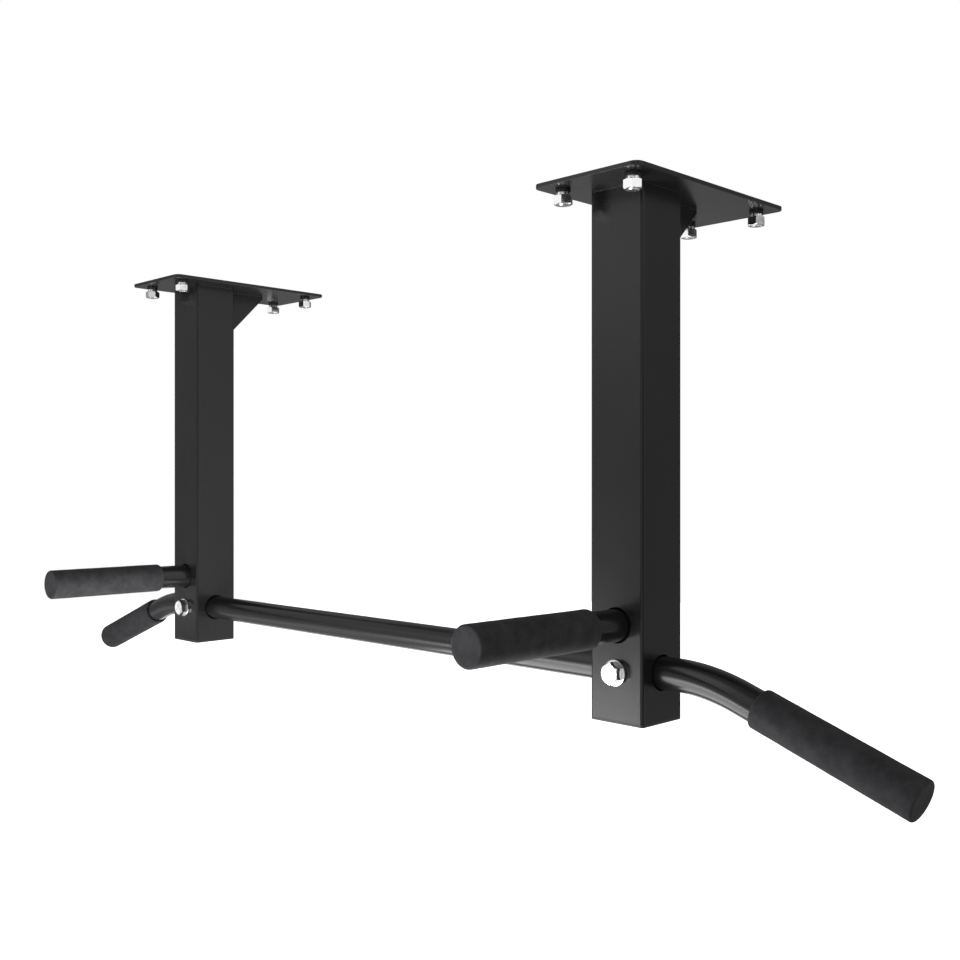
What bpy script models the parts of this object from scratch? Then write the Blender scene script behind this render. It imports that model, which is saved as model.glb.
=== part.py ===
"""Ceiling-mounted pull-up bar at real size, in metres, +Z up.

Two square posts hang from ceiling plates. A round bar with drooping ends runs
through both posts, and a short parallel handle juts forward from each of them.

The origin lies on the ceiling plane, midway between the posts. +X runs along the
bar to the right-hand post, and the handles point along -Y, to the front.
"""

import math

import bmesh
import bpy
from mathutils import Euler, Matrix, Vector

# Posts and ceiling plates
POST_SPACING = 0.750            # between the centres of the posts
POST_SIDE = 0.060
POST_WALL = 0.002
POST_CORNER = 0.003             # outer radius of the square tube's corners
POST_LENGTH = 0.4857
PLATE_WIDTH = 0.120             # along the bar
PLATE_DEPTH = 0.240             # front to rear
PLATE_THICKNESS = 0.004
PLATE_CORNER = 0.008
PLATE_FRONT_MARGIN = 0.047      # front edge of the plate to the post's front face
ANCHOR_INSET = 0.020            # centre of an anchor hole to the two edges near it
GUSSET_LEG = 0.065
GUSSET_NOSE = 0.004             # blunt end of each leg
GUSSET_THICKNESS = 0.005

# Plastic cap in the lower end of each post
CAP_FLANGE = 0.0025
CAP_PLUG_LENGTH = 0.016
CAP_PLUG_WALL = 0.002
CAP_RIB_HEIGHT = 0.0008
CAP_RIB_WIDTH = 0.0012
CAP_RIB_PITCH = 0.005

# Pull-up bar
BAR_DIAMETER = 0.030
BAR_WALL = 0.0025
BAR_RISE = 0.0437               # lower end of the square tube to the bar's axis
BAR_STUB = 0.0147               # post's outer face to the start of the bend
BEND_RADIUS = 0.200
BEND_ANGLE = math.radians(20.0)
BAR_NECK = 0.018                # end of the bend to the grip

# Parallel handles
HANDLE_DIAMETER = 0.030
HANDLE_WALL = 0.0025
HANDLE_RISE = 0.0431            # bar's axis to the handle's axis
HANDLE_NECK = 0.041             # post's front face to the grip

# Foam grips, alike on the bar and on the handles
GRIP_LENGTH = 0.150
GRIP_FOAM = 0.003               # thickness of the sleeve
GRIP_END = 0.004                # thickness of its closed end
GRIP_ROUNDING = 0.0015

# All screws
THREAD_CHAMFER = 0.0007         # at the end of a shank

# Bolt through each post and the bar
LOCK_THREAD = 0.012
LOCK_HEX = 0.018                # across the flats
LOCK_HEAD_HEIGHT = 0.0075
LOCK_NUT_HEIGHT = 0.0108
LOCK_BOLT_END = 0.003           # thread that shows past the nut
LOCK_WASHER_RIM = 0.0057        # radial width of the ring
LOCK_WASHER_THICKNESS = 0.0025

# Flange bolt that draws each handle against the post's rear wall
HANDLE_THREAD = 0.010
HANDLE_HEX = 0.015
HANDLE_HEAD_HEIGHT = 0.008
HANDLE_FLANGE_RIM = 0.0055
HANDLE_FLANGE_THICKNESS = 0.002
INSERT_LENGTH = 0.020           # threaded bush in the handle's inner end

# Ceiling anchors
ANCHOR_THREAD = 0.010
ANCHOR_HEX = 0.016
ANCHOR_NUT_HEIGHT = 0.0084
ANCHOR_END = 0.0008             # stud that shows below the nut
FLAT_WASHER_RIM = 0.0017
FLAT_WASHER_THICKNESS = 0.0028
SPRING_WASHER_RIM = 0.0011
SPRING_WASHER_THICKNESS = 0.0026
SPRING_WASHER_SPLIT = math.radians(14.0)
ANCHOR_NUT_TURN = math.radians(30.0)   # two flats then face the front and the rear

# Clearances
SEAT_GAP = 0.0003               # between faces that rest on each other
THREAD_CLEARANCE = 0.0003       # radial, round a shank in a nut or a washer
DRILL_CLEARANCE = 0.0005        # radial, round a shank in a drilled hole
SLEEVE_CLEARANCE = 0.0015       # radial, round a tube in a post's wall

# Facets
TUBE_SEGMENTS = 24
SCREW_SEGMENTS = 12
CORNER_STEPS = 3
BEND_STEPS = 6
ROUNDING_STEPS = 2

# Lines that several pieces share
TUBE_TOP = -(PLATE_THICKNESS + SEAT_GAP)
TUBE_BOTTOM = TUBE_TOP - POST_LENGTH
BAR_AXIS = TUBE_BOTTOM + BAR_RISE
HANDLE_AXIS = BAR_AXIS + HANDLE_RISE
POST_FRONT = -POST_SIDE / 2
POST_REAR = POST_SIDE / 2
PLATE_FRONT = POST_FRONT - PLATE_FRONT_MARGIN
PLATE_REAR = PLATE_FRONT + PLATE_DEPTH
POST_BORE = POST_SIDE - 2 * POST_WALL
POST_BORE_CORNER = max(POST_CORNER - POST_WALL, SEAT_GAP)

# Colour, roughness and metallic of each material
FINISHES = {
    "black_powder_coat": ((0.012, 0.012, 0.013), 0.30, 0.0),
    "black_foam": ((0.022, 0.022, 0.023), 0.85, 0.0),
    "black_plastic": ((0.006, 0.006, 0.006), 0.45, 0.0),
    "bright_zinc": ((0.78, 0.79, 0.80), 0.22, 1.0),
    "black_phosphate": ((0.02, 0.02, 0.02), 0.55, 0.6),
    "plain_steel": ((0.45, 0.45, 0.46), 0.40, 1.0),
}


def clear_scene():
    """Remove every object that the file starts with."""
    for obj in list(bpy.data.objects):
        bpy.data.objects.remove(obj, do_unlink=True)


def material(name):
    """The Principled material of that name, made on first use."""
    if name in bpy.data.materials:
        return bpy.data.materials[name]
    colour, roughness, metallic = FINISHES[name]
    made = bpy.data.materials.new(name)
    made.use_nodes = True
    shader = made.node_tree.nodes["Principled BSDF"]
    shader.inputs["Base Color"].default_value = (*colour, 1.0)
    shader.inputs["Roughness"].default_value = roughness
    shader.inputs["Metallic"].default_value = metallic
    return made


def place(name, mesh, finish, location=(0, 0, 0), rotation=(0, 0, 0), parent=None):
    """Put a mesh into the scene as a named object, relative to its parent."""
    obj = bpy.data.objects.new(name, mesh)
    bpy.context.scene.collection.objects.link(obj)
    obj.location = location
    obj.rotation_euler = Euler(rotation)
    obj.parent = parent
    if not mesh.materials:
        mesh.materials.append(material(finish))
    return obj


def finished(bm, name):
    """Turn a bmesh into a closed mesh whose faces point outwards."""
    bmesh.ops.remove_doubles(bm, verts=bm.verts, dist=1e-6)
    bmesh.ops.recalc_face_normals(bm, faces=bm.faces)
    mesh = bpy.data.meshes.new(name)
    bm.to_mesh(mesh)
    bm.free()
    return mesh


def shade_round(mesh, sharp_angle=math.radians(35.0)):
    """Shade a round piece smooth between its sharp edges."""
    mesh.shade_smooth()
    mesh.set_sharp_from_angle(angle=sharp_angle)
    return mesh


def combined(base, tool, operation):
    """The mesh of base joined to, cut by or limited to the mesh of tool."""
    base_object = bpy.data.objects.new("base", base)
    tool_object = bpy.data.objects.new("tool", tool)
    tool_object.hide_render = True
    tool_object.display_type = "WIRE"
    for obj in (base_object, tool_object):
        bpy.context.scene.collection.objects.link(obj)
    boolean = base_object.modifiers.new("Boolean", "BOOLEAN")
    boolean.operation = operation
    boolean.solver = "EXACT"
    boolean.object = tool_object
    graph = bpy.context.evaluated_depsgraph_get()
    result = bpy.data.meshes.new_from_object(base_object.evaluated_get(graph))
    for obj in (base_object, tool_object):
        bpy.data.objects.remove(obj)
    for mesh in (base, tool):
        bpy.data.meshes.remove(mesh)
    return result


def moved(mesh, location=(0, 0, 0), rotation=(0, 0, 0)):
    """Turn a mesh about the origin and then shift it."""
    mesh.transform(Matrix.LocRotScale(Vector(location), Euler(rotation), None))
    return mesh


def rounded_rectangle(width, depth, radius):
    """Corner points of a rectangle with rounded corners, centred on the origin."""
    points = []
    for quarter in range(4):
        start = quarter * math.pi / 2
        sign_x = 1 if quarter in (0, 3) else -1
        sign_y = 1 if quarter in (0, 1) else -1
        centre = Vector((sign_x * (width / 2 - radius), sign_y * (depth / 2 - radius)))
        for step in range(CORNER_STEPS + 1):
            angle = start + step * math.pi / 2 / CORNER_STEPS
            points.append(centre + radius * Vector((math.cos(angle), math.sin(angle))))
    return points


def extruded(bm, faces, name, height):
    """Close a bmesh of flat faces at one height into a solid that reaches up."""
    grown = bmesh.ops.extrude_face_region(bm, geom=faces, use_keep_orig=True)
    lifted = [item for item in grown["geom"] if isinstance(item, bmesh.types.BMVert)]
    bmesh.ops.translate(bm, verts=lifted, vec=(0, 0, height))
    return finished(bm, name)


def slab(name, outline, bottom, top):
    """A solid of one outline in the XY plane, between two heights."""
    bm = bmesh.new()
    face = bm.faces.new([bm.verts.new((x, y, bottom)) for x, y in outline])
    return extruded(bm, [face], name, top - bottom)


def hollow_section(name, side, corner, wall, bottom, top):
    """A length of square tube that stands between two heights."""
    bm = bmesh.new()
    inner_side = side - 2 * wall
    inner_corner = max(corner - wall, SEAT_GAP)
    edges = []
    for size, radius in ((side, corner), (inner_side, inner_corner)):
        loop = [bm.verts.new((x, y, bottom)) for x, y in rounded_rectangle(size, size, radius)]
        edges += [bm.edges.new(pair) for pair in zip(loop, loop[1:] + loop[:1])]
    rim = bmesh.ops.bridge_loops(bm, edges=edges)["faces"]
    return extruded(bm, rim, name, top - bottom)


def turned(name, profile, segments, sweep=2 * math.pi):
    """A solid of revolution about Z from (radius, height) points.

    The profile is a closed loop, or it starts and ends on the axis. A sweep of
    less than a full turn leaves a gap, and its two ends are filled.
    """
    bm = bmesh.new()
    verts = [bm.verts.new((radius, 0, height)) for radius, height in profile]
    edges = [bm.edges.new(pair) for pair in zip(verts, verts[1:])]
    if min(radius for radius, _ in profile) > 0:
        edges.append(bm.edges.new((verts[-1], verts[0])))
    bmesh.ops.spin(
        bm, geom=verts + edges, cent=(0, 0, 0), axis=(0, 0, 1), angle=sweep, steps=segments
    )
    bmesh.ops.remove_doubles(bm, verts=bm.verts, dist=1e-6)
    open_edges = [edge for edge in bm.edges if edge.is_boundary]
    if open_edges:
        bmesh.ops.holes_fill(bm, edges=open_edges, sides=len(profile))
    return shade_round(finished(bm, name))


def rod(name, radius, bottom, top, segments=SCREW_SEGMENTS, chamfer=0.0):
    """A round bar along Z, with a chamfer at its lower end if one is given."""
    profile = [(0, bottom), (radius - chamfer, bottom)]
    if chamfer > 0:
        profile.append((radius, bottom + chamfer))
    profile += [(radius, top), (0, top)]
    return turned(name, profile, segments)


def ring(name, bore, rim, thickness, segments=SCREW_SEGMENTS, sweep=2 * math.pi):
    """A flat ring that lies on the XY plane, round a bore of the given radius."""
    profile = [(bore, 0), (bore + rim, 0), (bore + rim, thickness), (bore, thickness)]
    return turned(name, profile, segments, sweep)


def hexagon(name, across_flats, height, chamfer_bottom):
    """A hexagon on the XY plane whose corners are turned off, as on a bolt's head.

    The upper end always has the chamfer, and the lower end of a nut has it too.
    """
    corner = across_flats / math.sqrt(3)
    reach = corner * 1.05
    face = across_flats / 2 * 0.96
    slope = (reach - face) * math.tan(math.radians(30.0))
    bm = bmesh.new()
    bmesh.ops.create_cone(bm, cap_ends=True, segments=6, radius1=corner, radius2=corner, depth=height)
    bmesh.ops.translate(bm, verts=bm.verts, vec=(0, 0, height / 2))
    body = finished(bm, name)
    profile = [(0, height), (face, height), (reach, height - slope)]
    if chamfer_bottom:
        profile += [(reach, slope), (face, 0), (0, 0)]
    else:
        profile += [(reach, 0), (0, 0)]
    return combined(body, turned("chamfer", profile, 2 * SCREW_SEGMENTS), "INTERSECT")


def nut(name, thread, across_flats, height):
    """A hexagon nut on the XY plane."""
    bore = rod("bore", thread / 2 + THREAD_CLEARANCE, -height, 2 * height)
    return combined(hexagon(name, across_flats, height, True), bore, "DIFFERENCE")


def hexagon_bolt(name, thread, across_flats, head_height, shank_length):
    """A bolt whose head stands on the XY plane and whose shank points down."""
    shank = rod("shank", thread / 2, -shank_length, head_height / 2, chamfer=THREAD_CHAMFER)
    return combined(hexagon(name, across_flats, head_height, False), shank, "UNION")


def ceiling_plate():
    """Plate with four anchor holes and rounded corners, its top on the ceiling."""
    outline = rounded_rectangle(PLATE_WIDTH, PLATE_DEPTH, PLATE_CORNER)
    plate = moved(slab("ceiling_plate", outline, -PLATE_THICKNESS, 0), plate_centre())
    for x, y in anchor_places():
        hole = rod("hole", ANCHOR_THREAD / 2 + DRILL_CLEARANCE, -2 * PLATE_THICKNESS, PLATE_THICKNESS)
        plate = combined(plate, moved(hole, (x, y, 0)), "DIFFERENCE")
    return plate


def plate_centre():
    """Where the middle of a plate lies, from its post's axis."""
    return (0, (PLATE_FRONT + PLATE_REAR) / 2, 0)


def anchor_places():
    """Centres of the four anchor holes, from the post's axis."""
    reach = PLATE_WIDTH / 2 - ANCHOR_INSET
    return [
        (x, y)
        for y in (PLATE_FRONT + ANCHOR_INSET, PLATE_REAR - ANCHOR_INSET)
        for x in (-reach, reach)
    ]


def post():
    """Square tube, cross-drilled for the bar, the handle and their bolts."""
    tube = hollow_section("post", POST_SIDE, POST_CORNER, POST_WALL, TUBE_BOTTOM, TUBE_TOP)
    across = POST_SIDE
    along_x = (0, math.pi / 2, 0)
    along_y = (math.pi / 2, 0, 0)
    bar_hole = rod("bar_hole", BAR_DIAMETER / 2 + SLEEVE_CLEARANCE, -across, across, TUBE_SEGMENTS)
    lock_hole = rod("lock_hole", LOCK_THREAD / 2 + DRILL_CLEARANCE, -across, across)
    handle_hole = rod("handle_hole", HANDLE_DIAMETER / 2 + SLEEVE_CLEARANCE, 0, across, TUBE_SEGMENTS)
    bolt_hole = rod("bolt_hole", HANDLE_THREAD / 2 + DRILL_CLEARANCE, -across, 0)
    for hole, turn, height in (
        (bar_hole, along_x, BAR_AXIS),
        (lock_hole, along_y, BAR_AXIS),
        (handle_hole, along_y, HANDLE_AXIS),
        (bolt_hole, along_y, HANDLE_AXIS),
    ):
        tube = combined(tube, moved(hole, (0, 0, height), turn), "DIFFERENCE")
    return tube


def gusset():
    """Triangular stiffener behind the post, square to the bar, under the plate."""
    leg, nose = GUSSET_LEG, GUSSET_NOSE
    outline = [(0, 0), (leg, 0), (leg, -nose), (nose, -leg), (0, -leg)]
    plate = slab("gusset", outline, -GUSSET_THICKNESS / 2, GUSSET_THICKNESS / 2)
    corner = (0, POST_REAR + SEAT_GAP, TUBE_TOP)
    return moved(plate, corner, (math.pi / 2, 0, math.pi / 2))


def end_cap():
    """Moulded cap: a flange below the tube and a ribbed, hollow plug inside it."""
    flange_top = TUBE_BOTTOM - SEAT_GAP
    outline = rounded_rectangle(POST_SIDE, POST_SIDE, POST_CORNER)
    cap = slab("end_cap", outline, flange_top - CAP_FLANGE, flange_top)
    rib_side = POST_BORE - 2 * SEAT_GAP
    rib_wall = CAP_RIB_HEIGHT + CAP_PLUG_WALL / 2
    plug_side = rib_side - 2 * CAP_RIB_HEIGHT
    root = flange_top - CAP_FLANGE / 2
    tip = flange_top + CAP_PLUG_LENGTH
    plug = hollow_section("plug", plug_side, POST_BORE_CORNER, CAP_PLUG_WALL, root, tip)
    cap = combined(cap, plug, "UNION")
    ribs = int((CAP_PLUG_LENGTH - CAP_RIB_WIDTH) / CAP_RIB_PITCH)
    for number in range(1, ribs + 1):
        top = flange_top + number * CAP_RIB_PITCH
        rib = hollow_section("rib", rib_side, POST_BORE_CORNER, rib_wall, top - CAP_RIB_WIDTH, top)
        cap = combined(cap, rib, "UNION")
    return cap


def bar_end(side):
    """Where the bar's bend ends, and the way that the drooping end points.

    The side is 1 on the right and -1 on the left. The point is on the bar's axis.
    """
    bend_start = POST_SPACING / 2 + POST_SIDE / 2 + BAR_STUB
    point = Vector((
        side * (bend_start + BEND_RADIUS * math.sin(BEND_ANGLE)),
        0,
        BAR_AXIS - BEND_RADIUS * (1 - math.cos(BEND_ANGLE)),
    ))
    direction = Vector((side * math.cos(BEND_ANGLE), 0, -math.sin(BEND_ANGLE)))
    return point, direction


def bar_half_path(side):
    """Axis of half the bar, from its first bend point out to its end."""
    bend_start = POST_SPACING / 2 + POST_SIDE / 2 + BAR_STUB
    points = []
    for step in range(BEND_STEPS + 1):
        angle = BEND_ANGLE * step / BEND_STEPS
        points.append(Vector((
            side * (bend_start + BEND_RADIUS * math.sin(angle)),
            0,
            BAR_AXIS - BEND_RADIUS * (1 - math.cos(angle)),
        )))
    point, direction = bar_end(side)
    reach = BAR_NECK + GRIP_LENGTH - GRIP_END - SEAT_GAP
    points.append(point + reach * direction)
    return points


def pull_up_bar():
    """One round tube, straight between the posts, with both ends bent down."""
    path = bar_half_path(-1)[::-1] + bar_half_path(1)
    curve = bpy.data.curves.new("bar_axis", "CURVE")
    curve.dimensions = "3D"
    curve.bevel_depth = BAR_DIAMETER / 2
    curve.bevel_resolution = (TUBE_SEGMENTS - 4) // 2
    spline = curve.splines.new("POLY")
    spline.points.add(len(path) - 1)
    for control, point in zip(spline.points, path):
        control.co = (*point, 1.0)
    axis_object = bpy.data.objects.new("bar_axis", curve)
    bpy.context.scene.collection.objects.link(axis_object)
    graph = bpy.context.evaluated_depsgraph_get()
    skin = bpy.data.meshes.new_from_object(axis_object.evaluated_get(graph))
    bpy.data.objects.remove(axis_object)
    tube = thickened(skin, BAR_WALL)
    for side in (-1, 1):
        drill = rod("lock_hole", LOCK_THREAD / 2 + DRILL_CLEARANCE, -BAR_DIAMETER, BAR_DIAMETER)
        place_of_bolt = (side * POST_SPACING / 2, 0, BAR_AXIS)
        tube = combined(tube, moved(drill, place_of_bolt, (math.pi / 2, 0, 0)), "DIFFERENCE")
    return shade_round(tube)


def thickened(skin, wall):
    """An open skin given a wall inwards, as a closed mesh."""
    bm = bmesh.new()
    bm.from_mesh(skin)
    bpy.data.meshes.remove(skin)
    mesh = finished(bm, "skin")
    obj = bpy.data.objects.new("skin", mesh)
    bpy.context.scene.collection.objects.link(obj)
    solidify = obj.modifiers.new("Solidify", "SOLIDIFY")
    solidify.thickness = wall
    solidify.offset = -1.0
    solidify.use_even_offset = True
    graph = bpy.context.evaluated_depsgraph_get()
    result = bpy.data.meshes.new_from_object(obj.evaluated_get(graph))
    bpy.data.objects.remove(obj)
    bpy.data.meshes.remove(mesh)
    return result


def handle_tube():
    """Straight tube of a handle, along Z, from the post's rear wall to its end."""
    outer = HANDLE_DIAMETER / 2
    inner = outer - HANDLE_WALL
    rear = POST_SIDE / 2 - POST_WALL - SEAT_GAP
    length = rear + POST_SIDE / 2 + HANDLE_NECK + GRIP_LENGTH - GRIP_END - SEAT_GAP
    profile = [(inner, 0), (outer, 0), (outer, length), (inner, length)]
    return turned("parallel_handle", profile, TUBE_SEGMENTS)


def grip(tube_diameter):
    """Foam sleeve along Z with a closed end, for a tube of that diameter."""
    bore = tube_diameter / 2 + SEAT_GAP
    outer = bore + GRIP_FOAM
    rounding = min(GRIP_ROUNDING, GRIP_FOAM * 0.8)

    def quarter(centre_radius, centre_height, start):
        return [
            (
                centre_radius + rounding * math.cos(start + step * math.pi / 2 / ROUNDING_STEPS),
                centre_height + rounding * math.sin(start + step * math.pi / 2 / ROUNDING_STEPS),
            )
            for step in range(ROUNDING_STEPS + 1)
        ]

    profile = [(0, GRIP_LENGTH - GRIP_END), (bore, GRIP_LENGTH - GRIP_END), (bore, 0)]
    profile += quarter(outer - rounding, rounding, -math.pi / 2)
    profile += quarter(outer - rounding, GRIP_LENGTH - rounding, 0)
    profile += [(0, GRIP_LENGTH)]
    return turned("grip", profile, TUBE_SEGMENTS)


def handle_bolt():
    """Flange bolt whose flange stands on the XY plane, its shank pointing down."""
    reach = POST_WALL + 2 * SEAT_GAP + INSERT_LENGTH
    shank = HANDLE_THREAD / 2
    flange = shank + HANDLE_FLANGE_RIM
    profile = [(0, -reach), (shank - THREAD_CHAMFER, -reach), (shank, THREAD_CHAMFER - reach)]
    profile += [(shank, 0), (flange, 0), (flange, HANDLE_FLANGE_THICKNESS), (0, HANDLE_FLANGE_THICKNESS)]
    root = HANDLE_FLANGE_THICKNESS / 2
    head = moved(hexagon("handle_bolt", HANDLE_HEX, HANDLE_HEAD_HEIGHT - root, False), (0, 0, root))
    return combined(head, turned("shank", profile, SCREW_SEGMENTS), "UNION")


def handle_insert():
    """Threaded bush along Z that is fixed in the handle's inner end."""
    bore = HANDLE_THREAD / 2 + THREAD_CLEARANCE
    rim = HANDLE_DIAMETER / 2 - HANDLE_WALL - SEAT_GAP - bore
    return ring("handle_insert", bore, rim, INSERT_LENGTH)


def build_meshes():
    """Every mesh that the two uprights share, made once."""
    lock_reach = POST_SIDE + 2 * LOCK_WASHER_THICKNESS + LOCK_NUT_HEIGHT + 4 * SEAT_GAP + LOCK_BOLT_END
    stud_reach = anchor_nut_depth() + ANCHOR_NUT_HEIGHT + ANCHOR_END
    spring_sweep = 2 * math.pi - SPRING_WASHER_SPLIT
    anchor_bore = ANCHOR_THREAD / 2 + THREAD_CLEARANCE
    return {
        "plate": ceiling_plate(),
        "post": post(),
        "gusset": gusset(),
        "cap": end_cap(),
        "handle": handle_tube(),
        "handle_grip": grip(HANDLE_DIAMETER),
        "bar_grip": grip(BAR_DIAMETER),
        "lock_bolt": hexagon_bolt("lock_bolt", LOCK_THREAD, LOCK_HEX, LOCK_HEAD_HEIGHT, lock_reach),
        "lock_washer": ring(
            "lock_washer", LOCK_THREAD / 2 + THREAD_CLEARANCE, LOCK_WASHER_RIM, LOCK_WASHER_THICKNESS
        ),
        "lock_nut": nut("lock_nut", LOCK_THREAD, LOCK_HEX, LOCK_NUT_HEIGHT),
        "handle_bolt": handle_bolt(),
        "handle_insert": handle_insert(),
        "anchor_stud": rod("anchor_stud", ANCHOR_THREAD / 2, -stud_reach, 0, chamfer=THREAD_CHAMFER),
        "flat_washer": ring("flat_washer", anchor_bore, FLAT_WASHER_RIM, FLAT_WASHER_THICKNESS),
        "spring_washer": ring(
            "spring_washer", anchor_bore, SPRING_WASHER_RIM, SPRING_WASHER_THICKNESS, sweep=spring_sweep
        ),
        "anchor_nut": nut("anchor_nut", ANCHOR_THREAD, ANCHOR_HEX, ANCHOR_NUT_HEIGHT),
    }


def flat_washer_depth():
    """Ceiling plane to the top of a flat washer."""
    return PLATE_THICKNESS + SEAT_GAP


def spring_washer_depth():
    """Ceiling plane to the top of a spring washer."""
    return flat_washer_depth() + FLAT_WASHER_THICKNESS + SEAT_GAP


def anchor_nut_depth():
    """Ceiling plane to the top of an anchor's nut."""
    return spring_washer_depth() + SPRING_WASHER_THICKNESS + SEAT_GAP


def add_anchors(meshes, label, side, upright):
    """The four anchors of one ceiling plate: stud, two washers and nut."""
    for x, y in anchor_places():
        spot = "{}_{}_{}".format(
            label, "front" if y < 0 else "rear", "outer" if x * side > 0 else "inner"
        )
        place("anchor_stud_" + spot, meshes["anchor_stud"], "bright_zinc", (x, y, 0), parent=upright)
        for piece, finish, top, thickness, turn in (
            ("flat_washer", "black_phosphate", flat_washer_depth(), FLAT_WASHER_THICKNESS, 0),
            ("spring_washer", "bright_zinc", spring_washer_depth(), SPRING_WASHER_THICKNESS, 0),
            ("anchor_nut", "bright_zinc", anchor_nut_depth(), ANCHOR_NUT_HEIGHT, ANCHOR_NUT_TURN),
        ):
            seat = (x, y, -top - thickness)
            place(piece + "_" + spot, meshes[piece], finish, seat, (0, 0, turn), upright)


def add_lock_bolt(meshes, label, upright):
    """Bolt, washers and nut that hold the bar in its post, along Y."""
    facing_front = (math.pi / 2, 0, 0)
    facing_rear = (-math.pi / 2, 0, 0)
    washer_front = POST_FRONT - SEAT_GAP
    washer_rear = POST_REAR + SEAT_GAP
    head = washer_front - LOCK_WASHER_THICKNESS - SEAT_GAP
    nut_face = washer_rear + LOCK_WASHER_THICKNESS + SEAT_GAP
    for piece, name, y, turn in (
        ("lock_bolt", "lock_bolt_", head, facing_front),
        ("lock_washer", "lock_washer_front_", washer_front, facing_front),
        ("lock_washer", "lock_washer_rear_", washer_rear, facing_rear),
        ("lock_nut", "lock_nut_", nut_face, facing_rear),
    ):
        place(name + label, meshes[piece], "bright_zinc", (0, y, BAR_AXIS), turn, upright)


def add_handle(meshes, label, upright):
    """Parallel handle with its grip, its threaded bush and the bolt behind."""
    facing_front = (math.pi / 2, 0, 0)
    facing_rear = (-math.pi / 2, 0, 0)
    inner_end = POST_REAR - POST_WALL - SEAT_GAP
    grip_start = POST_FRONT - HANDLE_NECK
    bolt_seat = POST_REAR + SEAT_GAP
    for piece, finish, y, turn in (
        ("handle", "black_powder_coat", inner_end, facing_front),
        ("handle_grip", "black_foam", grip_start, facing_front),
        ("handle_insert", "plain_steel", inner_end, facing_front),
        ("handle_bolt", "bright_zinc", bolt_seat, facing_rear),
    ):
        name = "parallel_handle" if piece == "handle" else piece
        place(name + "_" + label, meshes[piece], finish, (0, y, HANDLE_AXIS), turn, upright)


def add_upright(meshes, label, side):
    """One post with its ceiling plate, gusset, cap, handle and fasteners."""
    upright = bpy.data.objects.new("upright_" + label, None)
    bpy.context.scene.collection.objects.link(upright)
    upright.location = (side * POST_SPACING / 2, 0, 0)
    place("ceiling_plate_" + label, meshes["plate"], "black_powder_coat", parent=upright)
    place("post_" + label, meshes["post"], "black_powder_coat", parent=upright)
    place("gusset_" + label, meshes["gusset"], "black_powder_coat", parent=upright)
    place("post_end_cap_" + label, meshes["cap"], "black_plastic", parent=upright)
    add_anchors(meshes, label, side, upright)
    add_lock_bolt(meshes, label, upright)
    add_handle(meshes, label, upright)


def add_bar(meshes):
    """The bar, with a grip on each of its drooping ends."""
    place("pull_up_bar", pull_up_bar(), "black_powder_coat")
    for label, side in (("left", -1), ("right", 1)):
        point, direction = bar_end(side)
        turn = direction.to_track_quat("Z", "Y").to_euler()
        place("bar_grip_" + label, meshes["bar_grip"], "black_foam", point + BAR_NECK * direction, turn)


def main():
    """Model the whole object."""
    clear_scene()
    meshes = build_meshes()
    add_upright(meshes, "left", -1)
    add_upright(meshes, "right", 1)
    add_bar(meshes)


main()
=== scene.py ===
"""Looks of a ceiling-mounted pull-up bar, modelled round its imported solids.

Two square posts hang from bolted ceiling plates. A round bar with drooping, foam-gripped
ends runs through both posts, and a short parallel handle juts forward from each of them.

Every length is in metres, in the frame of the solids: the origin lies on the ceiling plane,
midway between the posts, +X runs along the bar, -Y points to the front, and +Z points up.
"""

import logging
import math
from dataclasses import dataclass
from enum import Enum
from typing import Any, Callable, ClassVar, Self

import bmesh
import bpy
from mathutils import Euler, Matrix, Vector


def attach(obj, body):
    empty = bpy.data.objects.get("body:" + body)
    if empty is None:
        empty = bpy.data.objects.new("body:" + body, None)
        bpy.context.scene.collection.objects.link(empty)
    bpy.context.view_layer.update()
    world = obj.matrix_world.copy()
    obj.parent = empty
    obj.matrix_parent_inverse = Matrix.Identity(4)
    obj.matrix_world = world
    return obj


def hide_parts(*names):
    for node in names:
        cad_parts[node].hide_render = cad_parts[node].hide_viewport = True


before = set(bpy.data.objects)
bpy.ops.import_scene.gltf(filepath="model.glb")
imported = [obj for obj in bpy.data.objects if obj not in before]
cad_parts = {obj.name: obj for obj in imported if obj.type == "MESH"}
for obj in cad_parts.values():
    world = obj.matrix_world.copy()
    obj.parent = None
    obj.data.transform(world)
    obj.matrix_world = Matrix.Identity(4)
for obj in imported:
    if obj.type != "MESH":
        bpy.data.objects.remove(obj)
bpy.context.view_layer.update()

LOG = logging.getLogger("pull_up_bar")
MM = 0.001
MOSTLY = 0.9  # share of a unit direction that counts as along an axis
EXACTLY = 0.999
BODY = "root"

Tree = bpy.types.NodeTree
Socket = bpy.types.NodeSocket
Point = tuple[float, float, float] | Vector
Pairs = tuple[tuple[float, float], ...] | list[tuple[float, float]]


class Side(Enum):
    """The two ends of the bar, seen from the front, with their sign along X."""

    LEFT = -1
    RIGHT = 1

    @property
    def label(self) -> str:
        """The word that node names use for this side."""
        return self.name.lower()


class Slot(Enum):
    """Material slots of the record."""

    POWDER_COAT = "black_powder_coat"
    FOAM = "black_foam"
    PLASTIC = "black_plastic"
    ZINC = "bright_zinc"
    PHOSPHATE = "black_phosphate"
    STEEL = "plain_steel"


class Cut(Enum):
    """What a solid does to the one it is applied to."""

    REMOVE = "DIFFERENCE"
    ADD = "UNION"
    KEEP = "INTERSECT"


class Part(Enum):
    """What can be selected on a mesh in edit mode."""

    VERT = "verts"
    EDGE = "edges"
    FACE = "faces"


class Texture(Enum):
    """Procedural textures: node, output, and the scale that sets features one metre apart."""

    NOISE = ("ShaderNodeTexNoise", "Fac", 1.0)
    CELLS = ("ShaderNodeTexVoronoi", "Distance", 1.0)
    BANDS = ("ShaderNodeTexWave", "Fac", math.pi / 10)


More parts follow.
